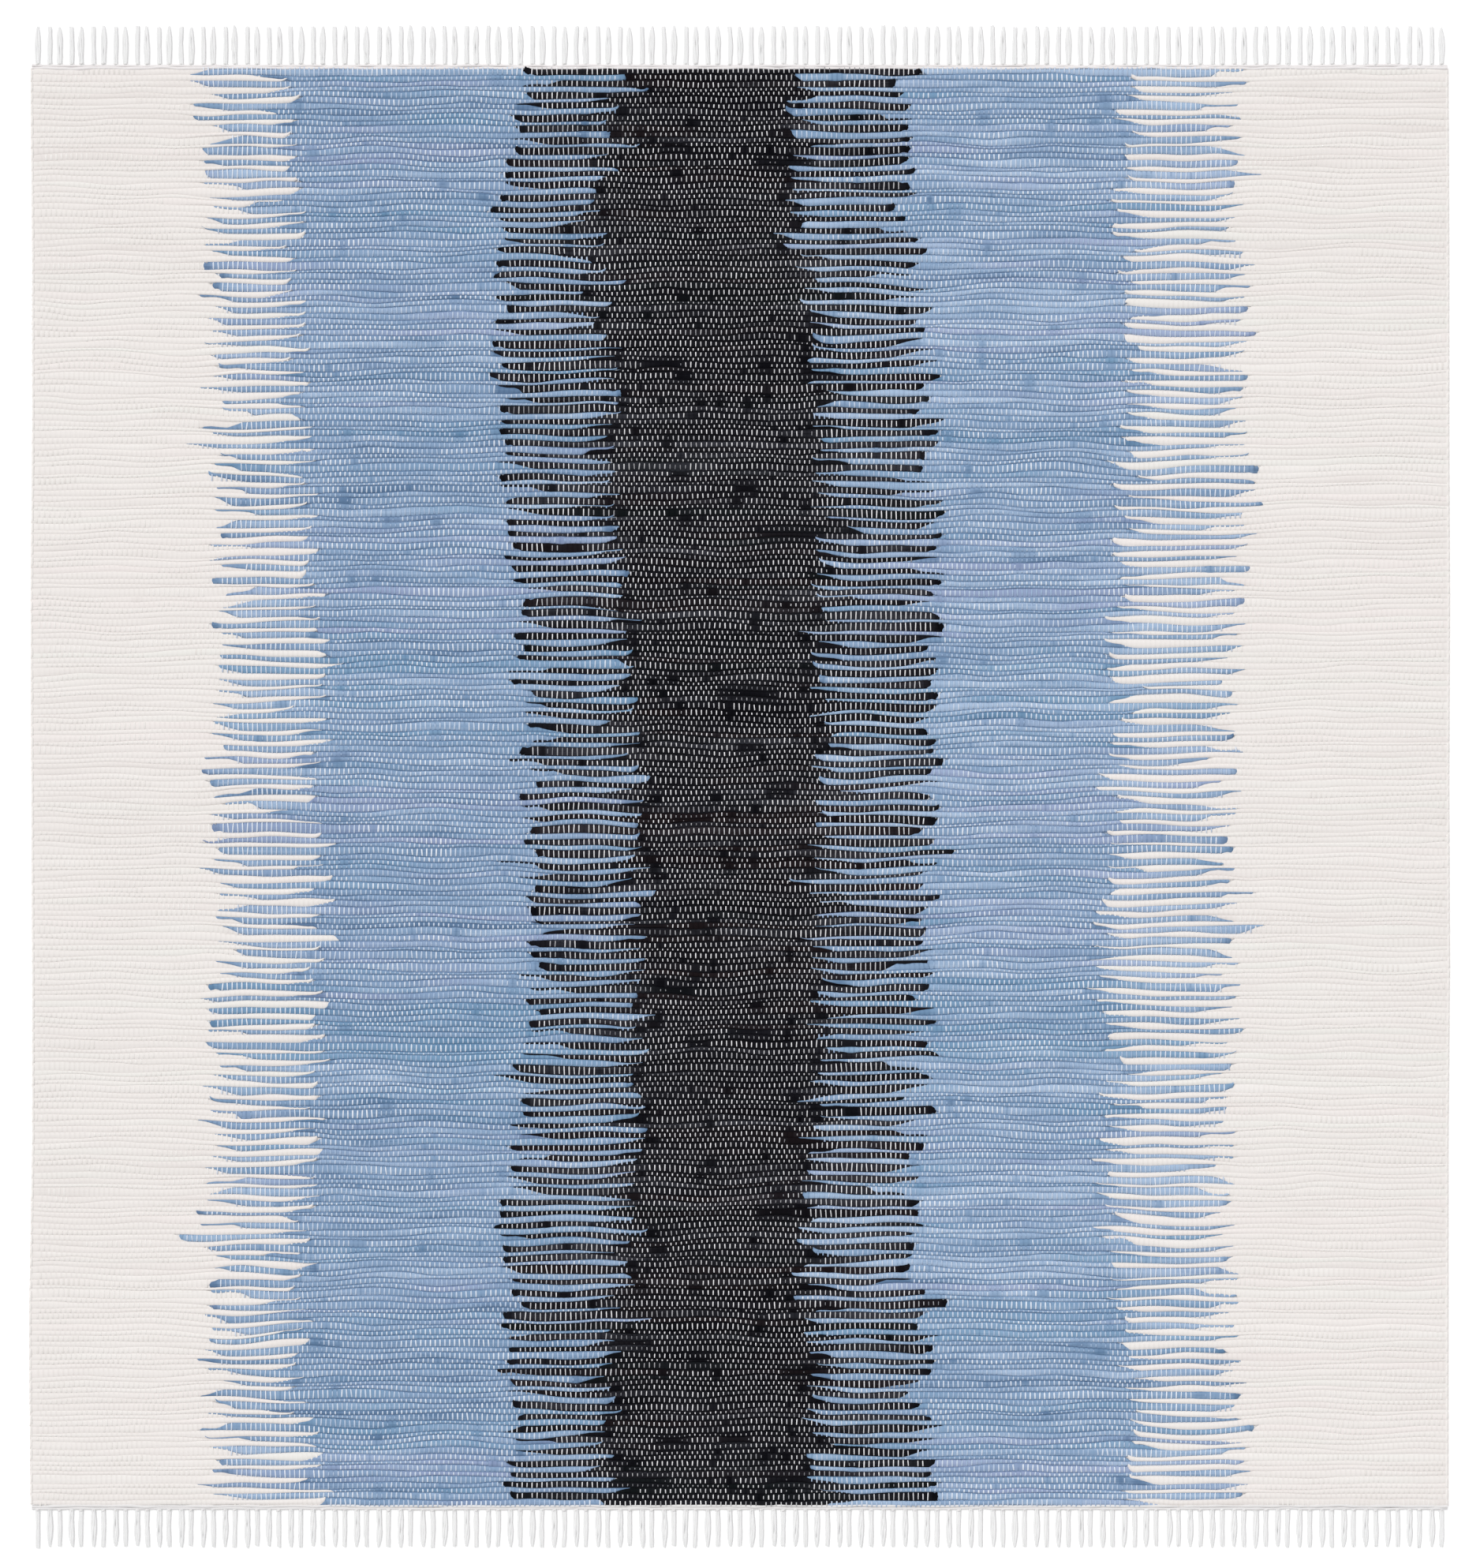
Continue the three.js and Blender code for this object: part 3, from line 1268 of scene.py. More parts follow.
def report(piece: bpy.types.Object, slot: str, *nodes: str) -> bpy.types.Object:
    """Attach a finished piece to the rug's body, hide the CAD nodes it stands for, and log it.

    Args:
        piece: The finished piece.
        slot: Not used.
        nodes: CAD nodes that the piece stands for.

    Returns:
        The same piece.
    """
    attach(piece, BODY)
    if nodes:
        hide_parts(*nodes)
    triangles = sum(len(polygon.vertices) - 2 for polygon in piece.data.polygons)
    log.info("%s: %d triangles", piece.name, triangles)
    return piece


# Each rag's groove colour is painted shade, for the grooves between picks and the dips around the
# floats.
WHITE_RAG = RagFinish(
    name="white rag",
    deep=linear(227, 221, 218),
    middle=linear(233, 228, 225),
    pale=linear(237, 233, 230),
    cool=linear(231, 231, 226),
    warm=linear(236, 228, 226),
    groove_shade=linear(190, 182, 178),
    groove_shade_strength=0.3,
    dent_shade_strength=0.13,
    waver=0.66,
    breaks=(17.0, 110.0, 60.0),
    relief=0.35 * MM,
)
BLUE_RAG = RagFinish(
    name="blue rag",
    deep=linear(92, 119, 152),
    middle=linear(130, 156, 187),
    pale=linear(164, 186, 213),
    cool=linear(102, 146, 178),
    warm=linear(156, 162, 197),
    groove_shade=linear(70, 95, 128),
    groove_shade_strength=0.7,
    mottle=0.7,
)
BLACK_RAG = RagFinish(
    name="black rag",
    deep=linear(10, 10, 15),
    middle=linear(24, 24, 29),
    pale=linear(52, 53, 60),
    cool=linear(22, 31, 30),
    warm=linear(44, 31, 30),
    groove_shade=linear(7, 7, 11),
    groove_shade_strength=0.8,
    shine=0.05,
    cast=0.3,
)
RAG_FINISHES = {Rag.WHITE: WHITE_RAG, Rag.BLUE: BLUE_RAG, Rag.BLACK: BLACK_RAG}

FLOAT_FINISHES = {
    Rag.WHITE: YarnFinish("warp over white", linear(238, 234, 231), linear(228, 223, 219)),
    Rag.BLUE: YarnFinish("warp over blue", linear(232, 237, 246), linear(156, 179, 209), 0.15),
    Rag.BLACK: YarnFinish("warp over black", linear(247, 246, 248), linear(128, 128, 133), 0.12),
}
FRINGE_YARN = YarnFinish("fringe yarn", linear(239, 239, 239), linear(236, 236, 236))
FAR_HEADING_YARN = YarnFinish("far heading yarn", linear(235, 231, 231), linear(217, 213, 213))
NEAR_HEADING_YARN = YarnFinish("near heading yarn", linear(229, 227, 227), linear(213, 211, 211))
KNOT_YARN = YarnFinish("knot yarn", linear(222, 221, 220), linear(197, 196, 194))
SELVEDGE_YARN = YarnFinish("selvedge yarn", linear(236, 232, 229), linear(229, 225, 221))


class DyeWaver(NamedTuple):
    """How the dye's tone or its tint wavers, with lengths in metres.

    slow is for the drift over many picks, own for each pick by itself, along for the drift along
    a pick, and change for the places where the weaver began another strip.
    """

    mean: float
    slow: float
    own: float
    along: float
    along_length: float
    change: float


DYE_WAVERS = (
    DyeWaver(mean=0.5, slow=0.05, own=0.07, along=0.10, along_length=80 * MM, change=0.05),
    DyeWaver(mean=0.0, slow=0.18, own=0.16, along=0.28, along_length=120 * MM, change=0.16),
)
SAMPLES_INSIDE_TIP = np.array([0.4, 1.2, 2.5, 4.5, 7.0]) * MM
SAMPLES_OVER_BUNCH = np.array([-1.1, -0.6, 0.0, 0.6, 1.1])


@dataclass
class RagWeft:
    """The weft: strips of rag, each a low rib from one change of colour to the next."""

    plan: WeavePlan
    sample_step: float = 10.5 * MM
    least_step: float = 0.3 * MM
    profile_points: int = 4
    flatness: float = 1.0
    edge_height: float = 3.3 * MM
    rise: float = 1.7 * MM
    white_rise: float = 0.75 * MM
    least_share: float = 0.02
    least_end: float = 0.08
    overlap: float = 1.04
    spare_width: float = 0.1 * MM
    swell_width: float = 0.55
    swell_rise: float = 0.55
    knot_reach: float = 1.3
    knot_width: float = 0.2
    knot_rise: float = 0.25
    end_drop: float = 2.5 * MM
    hook_rise: float = 1.3 * MM
    # The next seven numbers darken the tone with painted shade at knots, bunches and bare joins.
    knot_shadow: float = 0.30
    swell_shadow: float = 0.5
    bare_shadow: float = 0.3
    bare_tip_shadow: float = 0.16
    crowd_shadow: float = 0.04
    crowd_shadow_black: float = 0.25
    crowded_from: float = 0.08
    faded_fingers: float = 0.12
    bright_fingers: float = 0.09
    dusty_fingers: float = 0.16
    outer_fingers_from: float = 0.4
    right_blue_paler: float = 0.14
    slow_picks: float = 9.0
    dye_changes: int = 3
    dye_changes_within: float = 0.9
    seed: int = 23

    def tones(self, rag: Rag) -> tuple[np.ndarray, np.ndarray]:
        """Lay out how deep the dye is along each pick, and its cast.

        Args:
            rag: The rag whose dye it is.

        Returns:
            Tone and tint, each an array of picks by steps across the rug.
        """
        count, across = self.plan.picks, self.plan.across
        random = np.random.default_rng(self.seed + list(Rag).index(rag))
        slow = ripple(random, 2, np.arange(count, dtype=float), self.slow_picks)[:, :, None]
        own = random.normal(size=(2, count, 1))
        made = []
        for waver, drift, each in zip(DYE_WAVERS, slow, own):
            along = ripple(random, count, across, waver.along_length)
            made.append(waver.mean + waver.slow * drift + waver.own * each + waver.along * along)
        for _ in range(self.dye_changes):
            within = self.dye_changes_within
            past = across[None, :] > random.uniform(-within, within, size=(count, 1))
            for number, waver in enumerate(DYE_WAVERS):
                made[number] = made[number] + past * random.normal(0, waver.change, (count, 1))
        return made[0], np.clip(made[1], -1, 1)

    def samples(self, strip: Strip) -> np.ndarray:
        """Choose where a strip has points: even steps, and closer ones at its ends and bunches.

        Args:
            strip: The strip.

        Returns:
            Places across the rug, from left to right.
        """
        count = max(2, int((strip.end - strip.start) / self.sample_step))
        places = [np.linspace(strip.start, strip.end, count + 1)]
        for join in strip.joins:
            own = join.finger.rag is strip.rag
            inwards = -join.finger.points if own else join.finger.points
            places.append((join.tip if own else join.full) + inwards * SAMPLES_INSIDE_TIP)
        for bunch in self.plan.bunches[strip.pick]:
            places.append(bunch.x + bunch.reach * SAMPLES_OVER_BUNCH)
        every = np.unique(np.concatenate(places))
        every = every[(every >= strip.start) & (every <= strip.end)]
        keep = np.concatenate([[True], np.diff(every) > self.least_step])
        keep[-1] = True
        return every[keep]

    def at_tips(self, strip: Strip, x: np.ndarray) -> tuple[np.ndarray, np.ndarray]:
        """Find what a strip's joins do to it.

        Args:
            strip: The strip.
            x: Places across the rug.

        Returns:
            How much of a knot is at each place, from 0 to 1, and the painted shadow that a bare join
            lays on it.
        """
        knot, shadow = np.zeros_like(x), np.zeros_like(x)
        for join in strip.joins:
            own = join.finger.rag is strip.rag
            depth = join.depth(x)
            if own and join.knot > 0:
                knot = np.maximum(knot, np.clip(self.knot_reach - depth / join.knot, 0, 1))
            if join.bare:
                beside_tip = (depth > 0) & (depth < join.bare_length)
                shade = self.bare_tip_shadow if own else self.bare_shadow
                shadow = np.maximum(shadow, shade * beside_tip)
        return knot, shadow

    def full_rise(self, strip: Strip, fingers: np.ndarray) -> np.ndarray | float:
        """Find how high a strip's crown stands where it fills its pick.

        Args:
            strip: The strip.
            fingers: How far each place lies among the fingers.

        Returns:
            Height above the strip's sides. White rag lies flatter, away from the blue fingers.
        """
        if strip.rag is not Rag.WHITE:
            return self.rise
        return self.white_rise + (self.rise - self.white_rise) * (fingers * (strip.pick % 2))

    def in_fingers(self, strip: Strip, x: np.ndarray, fingers: np.ndarray) -> np.ndarray | float:
        """Find how much lighter a strip is among the fingers.

        Args:
            strip: The strip.
            x: Places across the rug.
            fingers: How far each place lies among the fingers.

        Returns:
            What is added to the tone.
        """
        if strip.rag is Rag.BLACK:
            return self.dusty_fingers * fingers
        if strip.rag is Rag.WHITE:
            return 0.0
        outer = np.abs(x) > self.outer_fingers_from
        return fingers * np.where(outer, self.faded_fingers, self.bright_fingers * (strip.pick % 2))

    def run_of(self, strip: Strip, tone: np.ndarray, tint: np.ndarray) -> dict[str, np.ndarray]:
        """Work out the line of one strip and the numbers on its points.

        Args:
            strip: The strip.
            tone: How deep the dye is, by pick and step across the rug.
            tint: Cast of the dye, by pick and step across the rug.

        Returns:
            The points' places, and other arrays by attribute name.
        """
        plan, pick = self.plan, strip.pick
        x = self.samples(strip)
        far, near = plan.line(pick, x), plan.line(pick + 1, x)
        low, high = strip.lane(x)
        share, width = high - low, far - near
        swell = plan.swell(pick, x)
        fingers = plan.fingers_in(pick, x)
        knot, shadow = self.at_tips(strip, x)
        spread = self.overlap + swell * self.swell_width + knot * self.knot_width
        middle = far - width * (low + high) / 2
        crowd = 1 + self.swell_rise * swell + self.knot_rise * knot
        rise = self.full_rise(strip, fingers) * np.sqrt(np.clip(share, self.least_share, 1)) * crowd
        side = np.minimum(x - plan.side("left", middle), plan.side("right", middle) - x)
        rise = rise * np.sqrt(np.clip(side / self.end_drop, self.least_end, 1))
        for join in strip.joins:
            if join.finger.rag is strip.rag and join.hook > 0:
                bent = np.clip(1 - join.depth(x) / HOOK_LENGTH, 0, 1) ** 2
                middle = middle + join.hook * bent
                rise = rise + self.hook_rise * bent
        # Painted shade darkens the tone at knots, bunches and bare joins; among the fingers the tone
        # is made lighter.
        crowd_shadow = self.crowd_shadow_black if strip.rag is Rag.BLACK else self.crowd_shadow
        dark = self.knot_shadow * knot + self.swell_shadow * swell
        dark = dark + crowd_shadow * np.minimum(swell / self.crowded_from, 1) + shadow
        dark = dark - self.in_fingers(strip, x, fingers)
        return {
            "place": np.stack([x, middle, np.zeros_like(x)], 1),
            "half": width * share / 2 * spread + self.spare_width,
            "rise": rise,
            "tone": np.interp(x, plan.across, tone[pick]) - dark,
            "tint": np.interp(x, plan.across, tint[pick]),
            "warp": np.interp(x, plan.columns(pick), np.arange(plan.floats_per_pick)),
        }

    def build(self, tree: RagSweep) -> list[bpy.types.Object]:
        """Make a piece for each of the five stripes.

        Args:
            tree: The tree that sweeps the ribs.

        Returns:
            The pieces, from left to right.
        """
        pieces = []
        for order, rag in enumerate(RAGS_ACROSS):
            tone, tint = self.tones(rag)
            if order == RIGHT_BLUE_STRIPE:
                tone = tone + self.right_blue_paler
            runs = [self.run_of(s, tone, tint) for s in self.plan.strips if s.order == order]
            name = stripe_name("weft", order)
            piece = tree.run(
                name,
                line_mesh(name, runs),
                Profile_Points=self.profile_points,
                Flatness=self.flatness,
                Edge_Height=self.edge_height,
                Material=material_of(RAG_FINISHES[rag]),
            )
            add_top_map(piece)
            nodes = ["woven_cloth"] if order == MIDDLE_STRIPE else []
            pieces.append(report(piece, "rag_weft", *nodes))
        return pieces


@dataclass
class WarpFloats:
    """The short stretches of white warp that show on top of each pick.

    A float is as long as its pick is wide, and shorter and narrower where a bunch beside it
    presses it down. A spread is the standard deviation of a float's own jitter.
    """

    plan: WeavePlan
    weft: RagWeft
    half_width: ByRag = ByRag(white=1.3 * MM, blue=0.90 * MM, black=0.64 * MM)
    shade: ByRag = ByRag(white=0.3, blue=0.32, black=0.14)
    speckle: ByRag = ByRag(white=0.07, blue=0.07, black=0.12)
    shortened: ByRag = ByRag(white=1.0, blue=1.0, black=0.92)
    reach: float = 0.94
    finger_reach: float = 1.16
    finger_shade: float = 0.12
    outer_finger_narrowing: float = 0.16
    outer_finger_shade: float = -0.14
    proud: float = 0.8 * MM
    white_proud: float = 0.35 * MM
    foot: float = 3.3 * MM
    edge_margin: float = 7.5 * MM
    into_heading: float = 1.3 * MM
    lengths: Span = (0.94, 1.03)
    uneven_in_black: float = 2.4
    width_spread: float = 0.07
    crest_spread: float = 0.04
    place_spread: float = 0.14 * MM
    turn_spread: float = 0.05
    missing: float = 0.01
    thick_bunch: float = 5.5 * MM
    seen_in_long_bunch: float = 0.25
    pushing_swell: float = 0.42
    pushed_reach: float = 0.5
    past_tip: float = 1 * MM
    past_bare_tip: float = 2 * MM
    press_length: float = 4 * MM
    pressed_from_beside: float = 0.7
    pressed_length: float = 0.5
    pressed_width: float = 0.25
    pressed_shade: float = 0.5
    swell_crest: float = 0.3
    seen_share: float = 0.4
    longest_finger: float = 120 * MM
    least_finger: float = 0.02
    smooth_white: float = 0.15
    smooth_length: float = 75 * MM
    faint_length: float = 60 * MM
    faint_shade: float = 0.16
    seed: int = 41

    def hidden(self, pick: int, x: np.ndarray, random: np.random.Generator) -> np.ndarray:
        """Find the floats that a bunch, a knotted tip or a bare join hides, and a few more.

        Args:
            pick: Number of the pick.
            x: Places of its floats.
            random: Source of the choice.

        Returns:
            True for each float that is left out.
        """
        gone = np.zeros(len(x), bool)
        for bunch in self.plan.bunches[pick]:
            seen = 0 if bunch.reach < self.thick_bunch else self.seen_in_long_bunch
            kept = random.random(len(x)) < seen
            gone |= (np.abs(x - bunch.x) < bunch.reach) & ~kept
        for beside in (pick - 1, pick + 1):
            if 0 <= beside < self.plan.picks:
                for bunch in self.plan.bunches[beside]:
                    if bunch.swell > self.pushing_swell:
                        gone |= np.abs(x - bunch.x) < bunch.reach * self.pushed_reach
        for join in self.plan.joins[pick]:
            depth = join.depth(x)
            gone |= (depth > -self.past_tip) & (depth < join.knot)
            if join.bare:
                gone |= (depth > -self.past_bare_tip) & (depth < join.bare_length)
        return gone | (random.random(len(x)) < self.missing)

    def pressed(self, pick: int, x: np.ndarray) -> np.ndarray:
        """Find how far the floats beside a bunch are pressed down.

        Args:
            pick: Number of the pick.
            x: Places of its floats.

        Returns:
            The share of each float, from 0 to 1.
        """
        total = np.zeros_like(x)
        for beside in range(max(pick - 1, 0), min(pick + 2, self.plan.picks)):
            most = 1.0 if beside == pick else self.pressed_from_beside
            for bunch in self.plan.bunches[beside]:
                past = (np.abs(x - bunch.x) - bunch.reach) / self.press_length
                total = np.maximum(total, np.clip(1 - past, 0, 1) * most)
        return total

    def stripe(self, pick: int, x: np.ndarray) -> np.ndarray:
        """Find the stripe that most of the pick belongs to at each place.

        Args:
            pick: Number of the pick.
            x: Places across the rug.

        Returns:
            Order of the stripe at each place, from the left.
        """
        order = np.zeros(len(x), int)
        for number, join in enumerate(self.plan.joins[pick]):
            in_finger = join.share(x) >= self.seen_share
            right = ~in_finger if join.finger.points > 0 else in_finger
            order = np.where(right, number + 1, order)
        return order

    def fingered(self, pick: int, x: np.ndarray) -> np.ndarray:
        """Find the share of the pick that a rag takes in its neighbour's stripe.

        Args:
            pick: Number of the pick.
            x: Places across the rug.

        Returns:
            The share at each place, from 0 to 1.
        """
        joins = self.plan.joins[pick]
        shares = [join.share(x) * (join.depth(x) < self.longest_finger) for join in joins]
        return np.max(shares, axis=0)

    def by_stripe(self, sizes: ByRag, order: np.ndarray) -> np.ndarray:
        """Look up a number for the rag of each float's stripe."""
        return np.array([sizes.of(rag) for rag in RAGS_ACROSS])[order]

    def shown(
        self, pick: int, calm: np.ndarray, random: np.random.Generator
    ) -> tuple[np.ndarray, np.ndarray]:
        """Choose the floats of a pick that can be seen.

        Args:
            pick: Number of the pick.
            calm: Noise along the pick, which is low where plain white rag hides its floats.
            random: Source of the choice.

        Returns:
            X of each float, and the order of its stripe.
        """
        x = self.plan.columns(pick)
        x = x[np.abs(x) < self.plan.width / 2 - self.edge_margin]
        x = x[~self.hidden(pick, x, random)]
        order = self.stripe(pick, x)
        plain = np.isin(order, OUTER_STRIPES) & (self.fingered(pick, x) < self.least_finger)
        smooth = np.interp(x, self.plan.across, calm) < self.smooth_white
        seen = ~(plain & smooth)
        return x[seen], order[seen]

    def rows_of(
        self, pick: int, calm: np.ndarray, faint: np.ndarray, random: np.random.Generator
    ) -> tuple[np.ndarray, np.ndarray]:
        """Work out the floats of a pick.

        Args:
            pick: Number of the pick.
            calm: Noise along the pick, which is low where plain white rag hides its floats.
            faint: Noise along the pick for the floats' shade.
            random: Source of the floats' own jitter.

        Returns:
            The order of each float's stripe, and a row of numbers for each float: its place and
            its size, three each, its turn and its shade.
        """
        plan, weft = self.plan, self.weft
        x, order = self.shown(pick, calm, random)
        far_reaching = pick % 2 == 0
        far, near = plan.line(pick, x), plan.line(pick + 1, x)
        pressed = self.pressed(pick, x)
        fingers = plan.fingers_in(pick, x)
        outer = np.abs(x) > weft.outer_fingers_from
        white = np.isin(order, OUTER_STRIPES)
        heading = {0: 1, plan.picks - 1: -1}.get(pick, 0) * self.into_heading

        reach = self.reach + (self.finger_reach - self.reach) * fingers * far_reaching
        longest = self.lengths[1]
        uneven = random.uniform(*self.lengths, len(x))
        in_black = longest - (longest - uneven) * self.uneven_in_black
        length = (far - near) / 2 * reach * np.where(order == MIDDLE_STRIPE, in_black, uneven)
        length = length * (1 - self.pressed_length * pressed)
        length = length * self.by_stripe(self.shortened, order) + abs(heading)

        wide = self.by_stripe(self.half_width, order) * random.normal(1, self.width_spread, len(x))
        wide = wide * (1 - self.pressed_width * pressed)
        wide = wide * (1 - self.outer_finger_narrowing * fingers * outer)

        rise = np.where(white, weft.white_rise + self.white_proud, weft.rise + self.proud)
        rise = rise + weft.edge_height - self.foot
        crest = rise * random.normal(1, self.crest_spread, len(x))
        crest = crest * (1 + self.swell_crest * plan.swell(pick, x))
        middle = (far + near) / 2 + random.normal(0, self.place_spread, len(x)) + heading

        in_fingers = self.finger_shade
        if far_reaching:
            in_fingers = np.where(outer, self.outer_finger_shade, 0)
        shade = self.by_stripe(self.shade, order) + in_fingers * fingers
        shade = shade + self.faint_shade * np.interp(x, plan.across, faint)
        shade = shade + self.by_stripe(self.speckle, order) * random.normal(size=len(x))
        shade = np.clip(shade + self.pressed_shade * pressed, 0, 1)

        turn = random.normal(0, self.turn_spread, len(x))
        foot = np.full(len(x), self.foot)
        return order, np.stack([x, middle, foot, wide, length, crest, turn, shade], 1)

    def points(self) -> list[dict[str, np.ndarray]]:
        """Place every float and sort them by stripe.

        Returns:
            For each stripe the floats' places, and other arrays by attribute name.
        """
        plan = self.plan
        random = np.random.default_rng(self.seed)
        calm = ripple(random, plan.picks, plan.across, self.smooth_length)
        faint = ripple(random, plan.picks, plan.across, self.faint_length)
        picks = [self.rows_of(p, calm[p], faint[p], random) for p in range(plan.picks)]
        order = np.concatenate([found for found, _ in picks])
        rows = np.concatenate([found for _, found in picks])
        stripes = [rows[order == number] for number in range(len(RAGS_ACROSS))]
        return [
            {"place": own[:, :3], "size": own[:, 3:6], "turn": own[:, 6], "shade": own[:, 7]}
            for own in stripes
        ]

    def build(self) -> list[bpy.types.Object]:
        """Make a piece of floats for each of the five stripes.

        Returns:
            The pieces, from left to right.
        """
        tree = Scatter(SeedShape.FLOAT)
        pieces = []
        for order, arrays in enumerate(self.points()):
            name = stripe_name("warp", order)
            material = material_of(FLOAT_FINISHES[RAGS_ACROSS[order]])
            piece = tree.run(name, point_mesh(name, arrays), Material=material)
            add_top_map(piece)
            pieces.append(report(piece, "warp_cotton"))
        return pieces


@dataclass(frozen=True)
class GroundFinish:
    """The cloth's inside and underside, where the same stripes and floats show in the plain.

    Its borders are the mean values of the tips' columns. The spans of a float and of a pick's
    side count from 0 at the middle of the float's column, or of the pick, to 1 at its sides.
    """

    plan: WeavePlan
    name: str = "underside weave"
    tip_scatter: float = 36 * MM
    streaks: Pitch = (22.0, 620.0, 300.0)
    floats: Colour = linear(222, 226, 232)
    float_width: Span = (0.32, 0.48)
    float_end: Span = (0.68, 0.84)
    pick_side: Span = (0.76, 1.0)
    pick_side_shade: float = 0.5
    roughness: Span = (0.85, 0.95)
    relief: float = 1.2 * MM
    shine: float = 0.1

    def fill(self, graph: ShaderGraph) -> None:
        """Add the finish's nodes.

        Args:
            graph: Graph of the material.
        """
        x, y = graph.split(graph.place)
        row = (0.5 * self.plan.length - y) * (self.plan.picks / self.plan.length)
        pick = row.floor()
        odd = (pick * 0.5).fraction().above(0.25)
        own = graph.value("ShaderNodeTexWhiteNoise", {"W": pick}, noise_dimensions="1D")
        moved = x + (own - 0.5) * self.tip_scatter
        tips = StripeTips(*(float(tip) * MM for tip in np.mean(STRIPE_TIPS, axis=0)))
        outer_far = (tips.blue_out_left, tips.blue_out_right)
        outer_near = (tips.white_in_left, tips.white_in_right)
        inner_far = (tips.black_out_left, tips.black_out_right)
        inner_near = (tips.blue_in_left, tips.blue_in_right)
        blue = self._between(moved, odd, outer_far, outer_near)
        black = self._between(moved, odd, inner_far, inner_near)
        streak = graph.noise(self.streaks, 3.0)
        white, blues, blacks = (
            graph.mix(streak, finish.deep, finish.pale) for finish in RAG_FINISHES.values()
        )
        cloth = graph.mix(black, graph.mix(blue, white, blues), blacks)
        off_middle = row.zigzag()
        shaded = off_middle.ramp(*self.pick_side) * self.pick_side_shade
        cloth = graph.mix(shaded, cloth, BLACK_RAG.pale)
        column = x * (self.plan.floats_per_pick / self.plan.width) + odd * 0.5
        beside = column.zigzag().ramp(*self.float_width)
        shows = (1 - beside) * (1 - off_middle.ramp(*self.float_end))
        colour = graph.mix(shows, cloth, self.floats)
        height = shows * 0.5 + (1 - off_middle) * 0.5
        graph.cloth(colour, streak.between(*self.roughness), height, self.relief, self.shine)

    def _between(self, x: Value, odd: Value, far: Span, near: Span) -> Value:
        """Tell a stripe from what lies outside it.

        Args:
            x: Place across the rug.
            odd: 1 in a near-reaching pick, and 0 in a far-reaching one.
            far: Left and right tips in a far-reaching pick.
            near: Left and right tips in a near-reaching pick.

        Returns:
            1 between the pick's left and right tips, and 0 elsewhere.
        """
        left, right = (odd.between(*ends) for ends in zip(far, near))
        return x.above(left) * (1 - x.above(right))


@dataclass
class GroundCloth:
    """The closed flat cloth under the ribs, which is the sheet that the rest lies on."""

    plan: WeavePlan
    inset: float = 1.2 * MM
    top: float = 2.9 * MM
    rows: int = 40

    def build(self) -> bpy.types.Object:
        """Make the sheet, a thin closed slab with the selvedges' waver.

        Returns:
            The piece.
        """
        plan, name = self.plan, "ground_cloth"
        y = np.linspace(plan.length / 2 - self.inset, -plan.length / 2 + self.inset, self.rows)
        left, right = plan.side("left", y) + self.inset, plan.side("right", y) - self.inset
        rings = ((left, 0.0), (right, 0.0), (right, self.top), (left, self.top))
        points = np.concatenate([np.stack([x, y, np.full(self.rows, z)], 1) for x, z in rings])
        starts = [corner * self.rows for corner in range(len(rings))]
        faces = []
        for here, beside in zip(starts, starts[1:] + starts[:1]):
            for row in range(self.rows - 1):
                faces.append((here + row, beside + row, beside + row + 1, here + row + 1))
        faces.append(tuple(starts[::-1]))
        faces.append(tuple(start + self.rows - 1 for start in starts))
        mesh = bpy.data.meshes.new(name)
        mesh.from_pydata(points.tolist(), [], faces)
        mesh.materials.append(material_of(GroundFinish(plan)))
        return report(put_in_scene(name, mesh), "rag_weft")


@dataclass
class Selvedges:
    """The two long edges, where the rags turn back round the outermost warp ends.

    The cord is notched between two turns of the weft.
    """

    plan: WeavePlan
    radius: float = 2.0 * MM
    lift: float = 0.5 * MM
    end_inset: float = 1 * MM
    notch: float = 0.5
    notch_sharpness: float = 4.0
    waver: float = 0.05
    waver_length: float = 9 * MM
    step: float = 2.4 * MM
    sides: int = 8
    seed: int = 5

    def build(self, tree: CordSweep) -> list[bpy.types.Object]:
        """Make a notched cord along each long edge.

        Args:
            tree: The tree that sweeps the cords.

        Returns:
            The left and the right selvedge.
        """
        plan = self.plan
        random = np.random.default_rng(self.seed)
        half = plan.length / 2 - self.end_inset
        y = np.arange(half, -half, -self.step)
        edges = -plan.length * (0.5 - plan.edges)
        row = np.interp(-y, edges, np.arange(len(edges)))
        pieces = []
        for side, inwards, first_turn in (("left", 1, 0), ("right", -1, 1)):
            from_middle = np.abs(((row + first_turn) / 2) % 1 - 0.5) * 2
            cut = np.clip(from_middle * self.notch_sharpness - (self.notch_sharpness - 1), 0, 1)
            noise = ripple(random, 1, -y, self.waver_length)[0]
            radius = self.radius * (1 - self.notch * cut) * (1 + self.waver * noise)
            x = plan.side(side, y) + inwards * self.radius
            run = {"place": np.stack([x, y, radius + self.lift], 1), "radius": radius}
            name = f"selvedge_{side}"
            material = material_of(SELVEDGE_YARN)
            piece = tree.run(name, line_mesh(name, [run]), Sides=self.sides, Material=material)
            pieces.append(report(piece, "rag_weft"))
        return pieces


class HeadingCord(NamedTuple):
    """One cord of a heading, with its distance from the gap, its radius and its waver in metres."""

    out: float
    radius: float
    waver: float


HEADING_CORDS = (
    HeadingCord(out=0.9 * MM, radius=2.2 * MM, waver=0.50 * MM),
    HeadingCord(out=4.0 * MM, radius=1.9 * MM, waver=0.35 * MM),
)


class StrandShape(NamedTuple):
    """How one kind of strand goes from its root to its tip.

    belly is the width that its middle gains, and the other two are shares lost at the tip.
    """

    belly: float
    narrowed: float
    thinned: float


